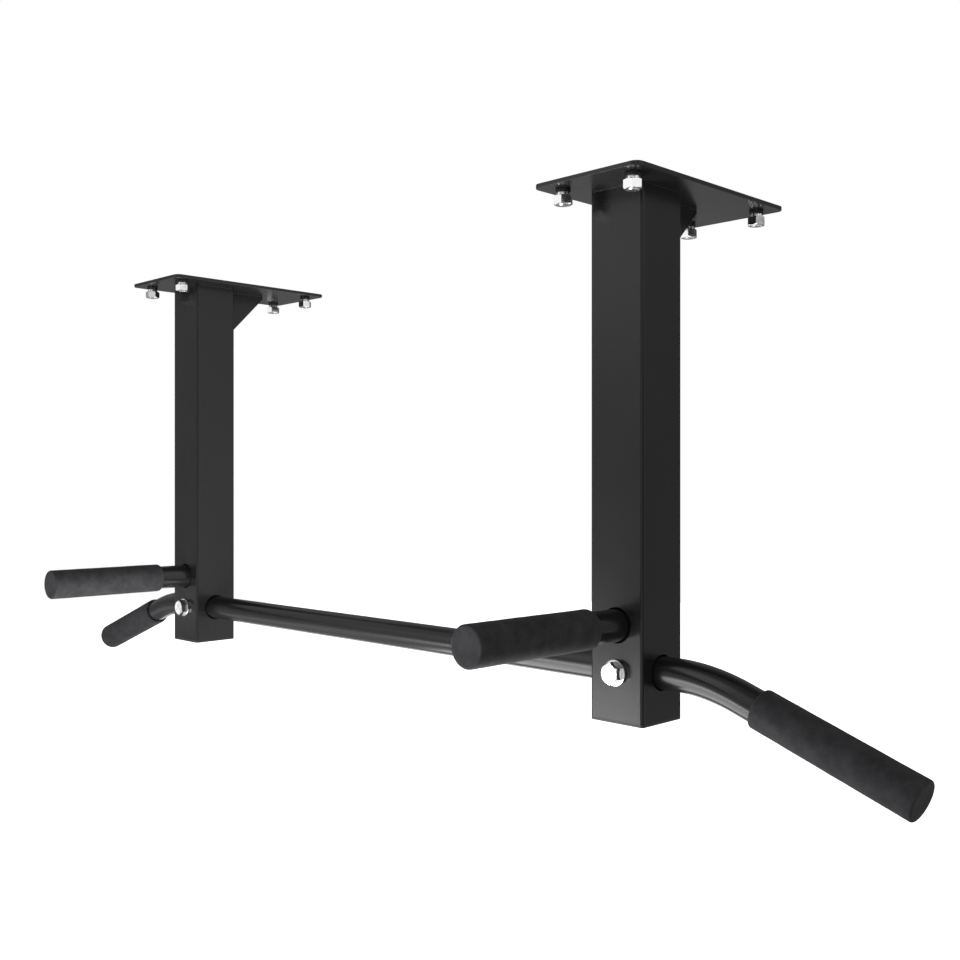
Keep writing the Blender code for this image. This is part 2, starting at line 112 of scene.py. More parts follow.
def linear(colour: str) -> tuple[float, float, float, float]:
    """Turn a screen colour into the linear values that a shader works in.

    Args:
        colour: An sRGB colour written as six hex digits after a hash.

    Returns:
        Linear red, green and blue, with an alpha of one.
    """
    channels = [int(colour[start:start + 2], 16) / 255 for start in (1, 3, 5)]
    red, green, blue = (
        value / 12.92 if value <= 0.04045 else ((value + 0.055) / 1.055) ** 2.4 for value in channels
    )
    return red, green, blue, 1.0


def add_node(
    tree: Tree,
    kind: str,
    values: dict[Any, Any] | None = None,
    links: dict[Any, Socket] | None = None,
    **settings: Any,
) -> bpy.types.Node:
    """Add one node with its settings, its constants and its links.

    Args:
        tree: The node tree that takes the node.
        kind: Blender's type name of the node.
        values: Constants by input name or number.
        links: Output sockets by the input that they feed.
        **settings: Properties of the node itself.

    Returns:
        The new node.
    """
    node = tree.nodes.new(kind)
    for key, value in settings.items():
        setattr(node, key, value)
    for key, value in (values or {}).items():
        node.inputs[key].default_value = value
    for key, socket in (links or {}).items():
        tree.links.new(socket, node.inputs[key])
    return node


@dataclass(frozen=True)
class Pattern:
    """One procedural pattern of a finish, and what it does to the surface.

    size is the distance between its features, in millimetres. gloss holds how far it takes
    the roughness down and up, tone the colours at its two ends, spread the part of its range
    that the tone follows, and relief the strength and the depth in millimetres of its bumps.
    """

    texture: Texture
    size: float
    values: dict[str, float]
    gloss: tuple[float, float] | None = None
    tone: tuple[str, str] | None = None
    spread: tuple[float, float] = (0.0, 1.0)
    relief: tuple[float, float] | None = None
    settings: tuple[tuple[str, str], ...] = ()


@dataclass(frozen=True)
class Finish:
    """A surface finish, made as a node material on first use.

    constants go on the shader's own inputs, and patterns add what varies over the surface.
    """

    NOISE_REACH: ClassVar[tuple[float, float]] = (0.3, 0.7)

    title: str
    slot: Slot
    base: str
    roughness: float
    constants: ClassVar[dict[str, float]] = {}
    patterns: ClassVar[tuple[Pattern, ...]] = ()

    def material(self) -> bpy.types.Material:
        """Give the material of this finish.

        Returns:
            The material, made on the first call and shared after that.
        """
        if self.title in bpy.data.materials:
            return bpy.data.materials[self.title]
        made = bpy.data.materials.new(self.title)
        made.use_nodes = True
        tree = made.node_tree
        shader = tree.nodes["Principled BSDF"]
        shader.inputs["Base Color"].default_value = linear(self.base)
        shader.inputs["Roughness"].default_value = self.roughness
        for name, value in self.constants.items():
            shader.inputs[name].default_value = value
        place = add_node(tree, "ShaderNodeTexCoord").outputs["Object"]
        feeds: dict[str, Socket] = {}
        for pattern in self.patterns:
            self.lay(tree, place, pattern, feeds)
        for name, socket in feeds.items():
            tree.links.new(socket, shader.inputs[name])
        return made

    def lay(self, tree: Tree, place: Socket, pattern: Pattern, feeds: dict[str, Socket]) -> None:
        """Add the nodes of one pattern.

        Args:
            tree: The material's node tree.
            place: Object coordinates, in metres.
            pattern: The pattern to add.
            feeds: What feeds the shader, by the name of its input. The pattern adds to it, and
                its bumps lie on those that are there.
        """
        kind, output, rate = pattern.texture.value
        values = {"Scale": rate / (pattern.size * MM), **pattern.values}
        texture = add_node(tree, kind, values, {"Vector": place}, **dict(pattern.settings))
        level = texture.outputs[output]
        if pattern.gloss:
            low, high = self.NOISE_REACH
            glossy, dull = (self.roughness + change for change in pattern.gloss)
            values = {"From Min": low, "From Max": high, "To Min": glossy, "To Max": dull}
            gloss = add_node(tree, "ShaderNodeMapRange", values, {"Value": level})
            feeds["Roughness"] = gloss.outputs["Result"]
        if pattern.tone:
            (low, high), (first, second) = pattern.spread, pattern.tone
            values = {"From Min": low, "From Max": high}
            share = add_node(tree, "ShaderNodeMapRange", values, {"Value": level}).outputs["Result"]
            values = {6: linear(first), 7: linear(second)}
            tone = add_node(tree, "ShaderNodeMix", values, {0: share}, data_type="RGBA")
            feeds["Base Color"] = tone.outputs[2]
        if pattern.relief:
            strength, depth = pattern.relief
            below = {name: socket for name, socket in feeds.items() if name == "Normal"}
            values = {"Strength": strength, "Distance": depth * MM}
            bumps = add_node(tree, "ShaderNodeBump", values, {"Height": level, **below})
            feeds["Normal"] = bumps.outputs["Normal"]


@dataclass(frozen=True)
class PowderCoat(Finish):
    """Polyester powder, sprayed and baked: a semi-gloss film with a soft orange peel.

    The eye reads it from blurred reflections that waver slightly along flat steel faces, and
    from a gloss that drifts slowly with the film's thickness.
    """

    title: str = "powder_coated_steel_baked"
    slot: Slot = Slot.POWDER_COAT
    base: str = "#171718"
    roughness: float = 0.22
    constants: ClassVar[dict[str, float]] = {"IOR": 1.5, "Specular IOR Level": 0.37}
    patterns: ClassVar[tuple[Pattern, ...]] = (
        Pattern(Texture.NOISE, 1000 / 14, {"Detail": 3.0, "Roughness": 0.55}, gloss=(-0.03, 0.03)),
        Pattern(Texture.NOISE, 2.4, {"Detail": 1.0}, relief=(0.10, 0.05)),
        # The real grain is near 0.1 mm. It is drawn coarser, so that it shows.
        Pattern(Texture.NOISE, 0.45, {"Detail": 0.0}, relief=(0.05, 0.02)),
    )


@dataclass(frozen=True)
class FoamRubber(Finish):
    """Nitrile foam rubber, extruded as a sleeve: dense and matt, with burst cells in its skin.

    It scatters light softly, goes a little paler at grazing angles, and shows a fine mottle.
    """

    title: str = "nitrile_foam_rubber_extruded"
    slot: Slot = Slot.FOAM
    base: str = "#2C2C2D"
    roughness: float = 0.80
    constants: ClassVar[dict[str, float]] = {
        "IOR": 1.45, "Specular IOR Level": 0.15, "Sheen Weight": 0.02, "Sheen Roughness": 0.6
    }
    patterns: ClassVar[tuple[Pattern, ...]] = (
        # Real cells are 0.2 to 0.4 mm wide. They are drawn coarser, so that they show.
        Pattern(Texture.CELLS, 0.9, {"Randomness": 1.0}, relief=(0.35, 0.12)),
        Pattern(
            Texture.NOISE,
            14.0,
            {"Detail": 5.0, "Roughness": 0.62},
            tone=("#29292B", "#363537"),
            spread=(0.40, 0.70),
            relief=(0.25, 0.25),
        ),
    )


@dataclass(frozen=True)
class MouldedPlastic(Finish):
    """Polypropylene, injection moulded in a spark-eroded tool: an even satin grain."""

    title: str = "polypropylene_moulded"
    slot: Slot = Slot.PLASTIC
    base: str = "#161617"
    roughness: float = 0.42
    constants: ClassVar[dict[str, float]] = {"IOR": 1.49}
    patterns: ClassVar[tuple[Pattern, ...]] = (
        # The tool's grain is near 0.1 mm. It is drawn coarser, so that it shows.
        Pattern(Texture.NOISE, 0.5, {"Detail": 2.0}, relief=(0.2, 0.03)),
    )


@dataclass(frozen=True)
class BrightZinc(Finish):
    """Bright zinc, electroplated on cold-formed steel: mirror-like flats with a soft blur.

    Its passivated skin drifts between a cool and a neutral white, and the lines that the
    forming dies leave break up a highlight a little.
    """

    title: str = "zinc_plated_steel_bright"
    slot: Slot = Slot.ZINC
    base: str = "#ECEDEE"
    roughness: float = 0.13
    constants: ClassVar[dict[str, float]] = {"Metallic": 1.0}
    patterns: ClassVar[tuple[Pattern, ...]] = (
        Pattern(Texture.NOISE, 6.0, {"Detail": 3.0}, gloss=(-0.04, 0.05), tone=("#E9EBEE", "#F3F2EE")),
        # Real forming lines are 0.05 mm apart. They are drawn coarser, so that they show.
        Pattern(Texture.NOISE, 0.35, {"Detail": 1.0}, relief=(0.04, 0.02)),
    )


@dataclass(frozen=True)
class Phosphate(Finish):
    """Manganese phosphate on pressed steel, oiled: a dark crystalline bloom, nearly matt."""

    title: str = "phosphated_steel_pressed"
    slot: Slot = Slot.PHOSPHATE
    base: str = "#2C2C2E"
    roughness: float = 0.50
    constants: ClassVar[dict[str, float]] = {"Metallic": 0.6}
    patterns: ClassVar[tuple[Pattern, ...]] = (
        # Real crystals are 0.02 mm wide. They are drawn coarser, so that they show.
        Pattern(
            Texture.CELLS, 0.3, {"Randomness": 1.0}, tone=("#262628", "#3C3C3E"), relief=(0.2, 0.02)
        ),
    )


@dataclass(frozen=True)
class TurnedSteel(Finish):
    """Free-cutting steel, turned and left bare: grey, with feed marks along Y, its axis."""

    title: str = "free_cutting_steel_turned"
    slot: Slot = Slot.STEEL
    base: str = "#A2A2A5"
    roughness: float = 0.38
    constants: ClassVar[dict[str, float]] = {"Metallic": 1.0}
    patterns: ClassVar[tuple[Pattern, ...]] = (
        # Real marks are 0.1 mm apart. They are drawn coarser, so that they show.
        Pattern(
            Texture.BANDS,
            0.5,
            {"Distortion": 0.6, "Detail": 1.0},
            relief=(0.25, 0.02),
            settings=(("wave_type", "BANDS"), ("bands_direction", "Y")),
        ),
    )


POWDER_COAT = PowderCoat()
FOAM_RUBBER = FoamRubber()
CAP_PLASTIC = MouldedPlastic()
BRIGHT_ZINC = BrightZinc()
PHOSPHATE = Phosphate()
TURNED_STEEL = TurnedSteel()


def is_upright(edge: bmesh.types.BMEdge) -> bool:
    """Whether an edge runs along Z."""
    return abs((edge.verts[0].co - edge.verts[1].co).normalized().z) > MOSTLY


class Workpiece:
    """A mesh that is shaped with Blender's own modelling operators.

    ROUND is the usual number of corners round a circle, and MERGE the distance within which
    vertices become one.
    """

    ROUND = 64
    MERGE = 1e-6

    def __init__(self, made: bpy.types.Object | None = None) -> None:
        """Take over a finished object, or the primitive that was just added.

        Args:
            made: The finished object. Without it, the primitive is settled in its mesh.
        """
        self.object = made or bpy.context.active_object
        if made is None:
            bpy.ops.object.transform_apply(location=True, rotation=True, scale=True)

    @staticmethod
    def clear_bench() -> None:
        """Leave edit mode and deselect everything."""
        if bpy.context.object is not None and bpy.context.object.mode != "OBJECT":
            bpy.ops.object.mode_set(mode="OBJECT")
        bpy.ops.object.select_all(action="DESELECT")

    @classmethod
    def block(cls, size: Point, centre: Point) -> Self:
        """Start from a cube.

        Args:
            size: Its lengths along X, Y and Z.
            centre: The middle of the cube.

        Returns:
            The new workpiece.
        """
        cls.clear_bench()
        bpy.ops.mesh.primitive_cube_add(size=1.0, location=centre)
        bpy.ops.transform.resize(value=tuple(size))
        return cls()

    @classmethod
    def cylinder(cls, radius: float, low: Point, high: Point, vertices: int = ROUND) -> Self:
        """Start from a cylinder between two points on its axis.

        Args:
            radius: Its radius, or that of its corners.
            low: One end of the axis.
            high: The other end.
            vertices: Corners round the cylinder.

        Returns:
            The new workpiece.
        """
        cls.clear_bench()
        low, high = Vector(low), Vector(high)
        bpy.ops.mesh.primitive_cylinder_add(
            vertices=vertices,
            radius=radius,
            depth=(high - low).length,
            location=(low + high) / 2,
            rotation=(high - low).to_track_quat("Z", "Y").to_euler(),
        )
        return cls()

    @classmethod
    def hoop(cls, radius: float, centre: Point, facing: Point, vertices: int = ROUND) -> Self:
        """Start from an open circle.

        Args:
            radius: The circle's radius.
            centre: Its middle.
            facing: The way that its axis points.
            vertices: Points round the circle.

        Returns:
            The new workpiece.
        """
        cls.clear_bench()
        turn = Vector(facing).to_track_quat("Z", "Y").to_euler()
        bpy.ops.mesh.primitive_circle_add(
            vertices=vertices, radius=radius, fill_type="NOTHING", location=centre, rotation=turn
        )
        return cls()

    @classmethod
    def turned(cls, profile: Pairs, closed: bool = False, vertices: int = ROUND) -> Self:
        """Turn a profile about Z, ring by ring.

        Args:
            profile: Radius and height of each ring in order.
            closed: Whether the last ring joins the first, as on a washer. Otherwise both ends
                are filled.
            vertices: Points round each ring.

        Returns:
            The new workpiece, with its faces pointing outwards.
        """
        radius, height = profile[0]
        piece = cls.hoop(radius, (0, 0, height), (0, 0, 1), vertices)
        piece.edit()
        for next_radius, next_height in profile[1:]:
            piece.extrude((0, 0, next_height - height), next_radius / radius, (0, 0, next_height))
            radius, height = next_radius, next_height
        if closed:
            piece.pick(Part.EDGE, lambda edge: edge.is_boundary)
            bpy.ops.mesh.bridge_edge_loops()
        else:
            bpy.ops.mesh.select_all(action="SELECT")
            bpy.ops.mesh.fill_holes(sides=0)
        return piece.turned_out()

    def take(self) -> None:
        """Make the piece the only selected one, in object mode."""
        self.clear_bench()
        bpy.context.view_layer.objects.active = self.object
        self.object.select_set(True)

    def edit(self) -> None:
        """Open the piece in edit mode, with all of it selected."""
        self.take()
        bpy.ops.object.mode_set(mode="EDIT")
        bpy.ops.mesh.select_mode(type="VERT")
        bpy.ops.mesh.select_all(action="SELECT")

    def pick(self, part: Part, test: Callable[[Any], bool]) -> None:
        """Select what passes a test, in edit mode.

        Args:
            part: Whether vertices, edges or faces are tested.
            test: Tells whether one is wanted.
        """
        bpy.ops.mesh.select_mode(type=part.name)
        bpy.ops.mesh.select_all(action="DESELECT")
        mesh = bmesh.from_edit_mesh(self.object.data)
        for item in getattr(mesh, part.value):
            if test(item):
                item.select_set(True)
        bmesh.update_edit_mesh(self.object.data)

    def round_uprights(self, radius: float, segments: int) -> None:
        """Open the piece and round its upright edges.

        Args:
            radius: Radius of the rounding.
            segments: Faces across it.
        """
        self.edit()
        self.pick(Part.EDGE, is_upright)
        bpy.ops.mesh.bevel(offset=radius, segments=segments, affect="EDGES")

    @staticmethod
    def extrude(shift: Point, factor: float = 1.0, centre: Point = (0, 0, 0)) -> None:
        """Extrude what is selected, and move and widen the new end.

        Args:
            shift: The move, along the frame's axes.
            factor: How much wider the end gets along X and Y.
            centre: The point that it widens from.
        """
        bpy.ops.mesh.extrude_region_move(TRANSFORM_OT_translate={"value": tuple(shift)})
        if factor != 1.0:
            bpy.ops.transform.resize(value=(factor, factor, 1.0), center_override=centre)

    def turned_out(self) -> Self:
        """Merge doubles and point the faces outwards.

        Returns:
            The same workpiece, in object mode.
        """
        if self.object.mode != "EDIT":
            self.edit()
        bpy.ops.mesh.select_all(action="SELECT")
        bpy.ops.mesh.remove_doubles(threshold=self.MERGE)
        bpy.ops.mesh.normals_make_consistent(inside=False)
        bpy.ops.object.mode_set(mode="OBJECT")
        return self

    def modify(self, kind: str, **settings: Any) -> Self:
        """Add a modifier and apply it.

        Args:
            kind: Blender's type name of the modifier.
            **settings: Its settings.

        Returns:
            The same workpiece.
        """
        self.take()
        bpy.ops.object.modifier_add(type=kind)
        modifier = self.object.modifiers[-1]
        for key, value in settings.items():
            setattr(modifier, key, value)
        bpy.ops.object.modifier_apply(modifier=modifier.name)
        return self

    def combine(self, tool: "Workpiece", cut: Cut) -> Self:
        """Cut, join or trim this piece with another, which is used up.

        Args:
            tool: The other piece.
            cut: What it does to this one.

        Returns:
            The same workpiece.
        """
        self.modify("BOOLEAN", operation=cut.value, solver="EXACT", object=tool.object)
        tool.discard()
        return self

    def soften(self, width: float, segments: int = 2, angle: float = 40.0) -> Self:
        """Break the sharp edges, and shade flat faces flat up to the break.

        Args:
            width: Width of the break.
            segments: Faces across it.
            angle: The sharpness, in degrees, from which an edge is broken.

        Returns:
            The same workpiece.
        """
        self.modify(
            "BEVEL", width=width, segments=segments, limit_method="ANGLE", angle_limit=math.radians(angle)
        )
        return self.shade()

    def shade(self, angle: float = 30.0) -> Self:
        """Shade smooth up to an angle, with normals weighted by face area.

        Args:
            angle: The sharpness, in degrees, from which an edge stays hard.

        Returns:
            The same workpiece.
        """
        self.take()
        bpy.ops.object.shade_smooth_by_angle(angle=math.radians(angle))
        return self.modify("WEIGHTED_NORMAL", keep_sharp=True, weight=100)

    def placed(self, name: str, place: Matrix, finish: Finish, *nodes: str) -> bpy.types.Object:
        """Put a copy with its own mesh in the scene, and tell the frame about it.

        Args:
            name: The copy's name.
            place: Where the copy goes. It ends in the mesh, and the object stays at the origin.
            finish: Its surface finish.
            *nodes: The CAD nodes that it stands for, if any.

        Returns:
            The copy.
        """
        mesh = self.object.data.copy()
        mesh.name = name
        mesh.transform(place)
        mesh.materials.clear()
        mesh.materials.append(finish.material())
        piece = bpy.data.objects.new(name, mesh)
        bpy.context.scene.collection.objects.link(piece)
        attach(piece, BODY)
        if nodes:
            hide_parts(*nodes)
        LOG.info("%s: %d faces, %s", piece.name, len(mesh.polygons), finish.title)
        return piece

    def discard(self) -> None:
        """Remove the piece, once it has been copied or used up."""
        self.clear_bench()
        mesh = self.object.data
        bpy.data.objects.remove(self.object)
        bpy.data.meshes.remove(mesh)


def shifted(x: float = 0.0, y: float = 0.0, z: float = 0.0, turn: Point = (0, 0, 0)) -> Matrix:
    """A move after a turn about the origin.

    Args:
        x: Move along X.
        y: Move along Y.
        z: Move along Z.
        turn: Angles about X, Y and Z.

    Returns:
        The matrix of both.
    """
    return Matrix.LocRotScale(Vector((x, y, z)), Euler(turn), None)


FACING_FRONT = (math.pi / 2, 0, 0)
FACING_REAR = (-math.pi / 2, 0, 0)


@dataclass
class Layout:
    """Lines that several sub-assemblies share, as in the solids."""

    spacing: float = 0.750
    post_side: float = 0.060
    post_wall: float = 0.002
    post_corner: float = 0.003
    post_length: float = 0.4857
    plate_thickness: float = 0.004
    plate_front: float = -0.077
    plate_rear: float = 0.163
    plate_width: float = 0.120
    bar_rise: float = 0.0437
    handle_rise: float = 0.0431
    tube_radius: float = 0.015
    tube_wall: float = 0.0025
    lock_hole: float = 0.0065
    seat_gap: float = 0.0003

    @property
    def tube_top(self) -> float:
        """Height of the posts' upper ends."""
        return -(self.plate_thickness + self.seat_gap)

    @property
    def tube_bottom(self) -> float:
        """Height of the posts' lower ends."""
        return self.tube_top - self.post_length

    @property
    def bar_axis(self) -> float:
        """Height of the bar's axis between the posts."""
        return self.tube_bottom + self.bar_rise

    @property
    def handle_axis(self) -> float:
        """Height of the handles' axes."""
        return self.bar_axis + self.handle_rise

    def post_axis(self, side: Side) -> float:
        """X of a post's axis."""
        return side.value * self.spacing / 2


@dataclass(frozen=True)
class Thread:
    """Outer diameter and pitch of a screw thread."""

    diameter: float
    pitch: float


M10 = Thread(0.010, 0.0015)
M12 = Thread(0.012, 0.00175)


@dataclass
class Hardware:
    """Bolts, nuts and washers with real helical threads, each modelled once and copied."""

    thread_steps: int = 24
    thread_depth: float = 0.58
    spare_turns: int = 3
    chamfer_face: float = 0.96
    chamfer_slope: float = math.radians(30.0)
    lathe_reach: float = 1.05
    lathe_offset: float = math.radians(1.1)
    tip_height: float = 1.3 * MM
    clearance: float = 0.0003
    tapping_share: float = 0.8
    countersink: float = 0.5 * MM
    edge: float = 0.2 * MM
    crease: float = 25.0

    def ridge(self, thread: Thread, low: float, high: float, chamfer: float = 0.0) -> Workpiece:
        """Make a threaded rod along Z, from the three points of one ridge.

        Args:
            thread: Its diameter and pitch.
            low: Height of the lower end.
            high: Height of the upper end.
            chamfer: How much the lower end is turned down, at 45 degrees.

        Returns:
            A closed threaded rod.
        """
        pitch = thread.pitch
        depth = pitch * self.thread_depth
        root = thread.diameter / 2 - depth
        turns = math.ceil((high - low) / pitch) + self.spare_turns
        # The ridge starts below the lower end, and a quarter step off, so that neither plane
        # that trims the rod runs through its vertices.
        start = low - (1.5 + 0.25 / self.thread_steps) * pitch
        middle = start + pitch / 2
        Workpiece.clear_bench()
        bpy.ops.mesh.primitive_grid_add(
            x_subdivisions=2,
            y_subdivisions=1,
            size=pitch,
            location=(root, 0, middle),
            rotation=(0, math.pi / 2, 0),
        )
        rod = Workpiece()
        rod.edit()
        rod.pick(Part.VERT, lambda vert: vert.co.y > 0)
        bpy.ops.mesh.delete(type="VERT")
        rod.pick(Part.VERT, lambda vert: abs(vert.co.z - middle) < pitch / 8)
        bpy.ops.transform.translate(value=(depth, 0, 0))
        bpy.ops.mesh.select_all(action="SELECT")
        bpy.ops.transform.translate(value=(0, pitch / 2, 0))
        rod.modify(
            "SCREW",
            axis="Z",
            screw_offset=pitch,
            iterations=turns,
            steps=self.thread_steps,
            render_steps=self.thread_steps,
            use_merge_vertices=True,
            merge_threshold=Workpiece.MERGE,
            use_smooth_shade=False,
        )
        rod.edit()
        bpy.ops.mesh.remove_doubles(threshold=Workpiece.MERGE)
        for height, up in ((low, -1), (high, 1)):
            bpy.ops.mesh.select_all(action="SELECT")
            bpy.ops.mesh.bisect(
                plane_co=(0, 0, height),
                plane_no=(0, 0, up),
                use_fill=True,
                clear_outer=True,
                threshold=Workpiece.MERGE / 10,
            )
        rod.turned_out()
        if chamfer > 0:
            foot = thread.diameter / 2 - chamfer
            rim = foot + self.tip_height
            lathe = Workpiece.turned([(foot, low), (rim, low + self.tip_height), (rim, high + MM)])
            rod.combine(lathe, Cut.KEEP)
        return rod

    def hexagon(self, across: float, height: float, both_ends: bool) -> Workpiece:
        """Make a hexagon on the XY plane whose corners are turned off.

        Args:
            across: Width across the flats.
            height: Its height.
            both_ends: Whether the lower end is turned off too, as on a nut.

        Returns:
            The hexagon, closed and without a bore.
        """
        corner = across / math.sqrt(3)
        reach = corner * self.lathe_reach
        face = across / 2 * self.chamfer_face
        slope = (reach - face) * math.tan(self.chamfer_slope)
        blank = Workpiece.cylinder(corner, (0, 0, 0), (0, 0, height), vertices=6)
        profile = [(face, height), (reach, height - slope)]
        profile += [(reach, slope), (face, 0)] if both_ends else [(reach, 0)]
        lathe = Workpiece.turned(profile, vertices=96)
        # A small turn keeps the lathe's vertices off the hexagon's corners.
        lathe.object.data.transform(Matrix.Rotation(self.lathe_offset, 4, "Z"))
        return blank.combine(lathe, Cut.KEEP)

    def nut(self, thread: Thread, across: float, height: float) -> Workpiece:
        """Make a hexagon nut on the XY plane, with a countersunk threaded bore.

        Args:
            thread: Its thread.
            across: Width across the flats.
            height: Its height.

        Returns:
            The nut.
        """
        body = self.hexagon(across, height, True)
        major = thread.diameter / 2 + self.clearance
        minor = major - self.tapping_share * self.thread_depth * thread.pitch
        sink = major + self.countersink
        depth = sink - minor
        drill = Workpiece.turned(
            [
                (sink, -self.countersink), (sink, 0), (minor, depth),
                (minor, height - depth), (sink, height), (sink, height + self.countersink),
            ],
            vertices=48,
        )
        body.combine(drill, Cut.REMOVE)
        tap = self.ridge(Thread(2 * major, thread.pitch), -MM, height + MM)
        return body.combine(tap, Cut.REMOVE).shade(self.crease)

    def washer(self, bore: float, rim: float, thickness: float) -> Workpiece:
        """Make a flat washer on the XY plane, with its edges rolled by the press.

        Args:
            bore: Radius of its hole.
            rim: Radial width of the ring.
            thickness: Its thickness.

        Returns:
            The washer.
        """
        outer = bore + rim
        edge = min(0.35 * MM, rim / 4, thickness / 4)
        lip, roll = edge * 0.4, edge * 0.3
        profile = [
            (bore, edge), (bore + lip, 0), (outer - edge, 0), (outer - roll, roll), (outer, edge),
            (outer, thickness - edge), (outer - roll, thickness - roll), (outer - edge, thickness),
            (bore + lip, thickness), (bore, thickness - edge),
        ]
        return Workpiece.turned(profile, closed=True).shade()

    def spring_washer(self, bore: float, rim: float, thickness: float, split: float) -> Workpiece:
        """Make a split spring washer on the XY plane, spun from its square section.

        Args:
            bore: Radius of its hole.
            rim: Radial width of the section.
            thickness: Height of the section.
            split: Angle of the gap.

        Returns:
            The washer, with its gap at the +X side.
        """
        sliver = 0.02 * MM
        washer = Workpiece.block((rim, sliver, thickness), (bore + rim / 2, 0, thickness / 2))
        washer.edit()
        washer.pick(Part.FACE, lambda face: face.normal.y < 0.5)
        bpy.ops.mesh.delete(type="FACE")
        bpy.ops.mesh.select_all(action="SELECT")
        bpy.ops.transform.translate(value=(0, -sliver / 2, 0))
        bpy.ops.mesh.spin(
            steps=self.thread_steps * 3, angle=2 * math.pi - split, center=(0, 0, 0), axis=(0, 0, 1)
        )
        return washer.turned_out().soften(self.edge * 0.8)

    def bolt(self, thread: Thread, across: float, head: float, grip: float, length: float) -> Workpiece:
        """Make a hexagon bolt whose head stands on the XY plane, its shank pointing down.

        Args:
            thread: Its thread.
            across: Width across the flats.
            head: Height of the head.
            grip: Plain length below the head.
            length: Whole length below the head.

        Returns:
            The bolt.
        """
        radius, run_out = thread.diameter / 2, 0.9 * MM
        body = self.hexagon(across, head, False)
        profile = [(radius, head / 2), (radius, -grip), (radius - run_out, -grip - run_out)]
        shank = Workpiece.turned(profile)
        screw = self.ridge(thread, -length, -grip, MM)
        return body.combine(shank, Cut.ADD).combine(screw, Cut.ADD).shade(self.crease)


@dataclass
class CeilingMount:
    """Ceiling plate, its gusset and the welds that join them to the post."""

    layout: Layout
    corner: float = 0.008
    edge: float = 0.45 * MM
    inset: float = 0.020
    hole: float = 0.0055
    gusset_leg: float = 0.065
    gusset_nose: float = 0.004
    gusset_thickness: float = 0.005
    bead: float = 0.0005
    bead_end: float = 0.55
    ripple: float = 0.0011
    ripple_rings: int = 5

    def places(self) -> list[tuple[float, float]]:
        """Centres of the four anchor holes, from the post's axis.

        Returns:
            X and Y of each hole, the front pair first.
        """
        reach = self.layout.plate_width / 2 - self.inset
        rows = (self.layout.plate_front + self.inset, self.layout.plate_rear - self.inset)
        return [(x, y) for y in rows for x in (-reach, reach)]

    def plate(self) -> Workpiece:
        """Make the plate: sawn blank, rounded corners, punched holes, broken edges.

        Returns:
            The plate, about the post's axis.
        """
        layout = self.layout
        front, rear, thickness = layout.plate_front, layout.plate_rear, layout.plate_thickness
        plate = Workpiece.block(
            (layout.plate_width, rear - front, thickness), (0, (rear + front) / 2, -thickness / 2)
        )
        plate.round_uprights(self.corner, segments=10)
        plate.turned_out()
        for x, y in self.places():
            punch = Workpiece.cylinder(self.hole, (x, y, -10 * MM), (x, y, 10 * MM), vertices=48)
            plate.combine(punch, Cut.REMOVE)
        return plate.soften(self.edge, segments=3)

    def gusset(self) -> Workpiece:
        """Make the triangular stiffener behind the post.

        Returns:
            The gusset, about the post's axis.
        """
        layout, leg = self.layout, self.gusset_leg
        seat = Vector((0, layout.post_side / 2 + layout.seat_gap, layout.tube_top))
        gusset = Workpiece.block((self.gusset_thickness, leg, leg), seat + Vector((0, leg / 2, -leg / 2)))
        gusset.edit()
        bpy.ops.mesh.bisect(
            plane_co=tuple(seat + Vector((0, leg, -self.gusset_nose))),
            plane_no=(0, 1, -1),
            use_fill=True,
            clear_outer=True,
        )
        return gusset.turned_out().soften(self.edge, segments=3)

    def bead_run(self, length: float, seed: float) -> Workpiece:
        """Make one straight weld bead along Z, rippled as the torch moves on.

        Args:
            length: Length of the seam.
            seed: Shifts the ripples, so that two seams differ.

        Returns:
            The bead, from the origin up.
        """
        bead = Workpiece.cylinder(self.bead, (0, 0, 0), (0, 0, length), vertices=14)
        bead.edit()
        bead.pick(Part.EDGE, is_upright)
        bpy.ops.mesh.subdivide(number_cuts=round(length / self.ripple * self.ripple_rings))
        bpy.ops.object.mode_set(mode="OBJECT")
        for vert in bead.object.data.vertices:
            along = vert.co.z
            scale = wave(along / self.ripple, seed)
            rise = min(1.0, min(along, length - along) / (2 * self.bead))
            taper = self.bead_end + (1 - self.bead_end) * rise
            vert.co.x *= scale * taper
            vert.co.y *= scale * taper
        return bead.turned_out().shade(60.0)

    def seams(self) -> list[tuple[Matrix, float]]:
        """Where the beads run, from the post's axis.

        Returns:
            The place and length of each bead, round the post and then along the gusset.
        """
        layout, top = self.layout, self.layout.tube_top
        half = layout.post_side / 2
        run = layout.post_side - 2 * layout.post_corner
        along_x, along_y = (0, math.pi / 2, 0), (math.pi / 2, 0, 0)
        seams = [(shifted(-run / 2, y, top, along_x), run) for y in (-half, half)]
        seams += [(shifted(x, run / 2, top, along_y), run) for x in (-half, half)]
        leg = self.gusset_leg
        run = leg - 2 * MM
        for x in (-self.gusset_thickness / 2, self.gusset_thickness / 2):
            seams.append((shifted(x, half, top - leg + 2 * MM), run))
            seams.append((shifted(x, half + leg - 2 * MM, top, along_y), run))
        return seams

    def build(self) -> None:
        """Model the plates, gussets and beads, and place them at both posts."""
        plate, gusset = self.plate(), self.gusset()
        for side in Side:
            place, label = shifted(self.layout.post_axis(side)), side.label
            plate.placed("plate_" + label, place, POWDER_COAT, "ceiling_plate_" + label)
            gusset.placed("stiffener_" + label, place, POWDER_COAT, "gusset_" + label)
            for number, (seam, length) in enumerate(self.seams()):
                bead = self.bead_run(length, number + 0.37 * side.value)
                bead.placed("weld_{}_{}".format(label, number), place @ seam, POWDER_COAT)
                bead.discard()
        plate.discard()
        gusset.discard()


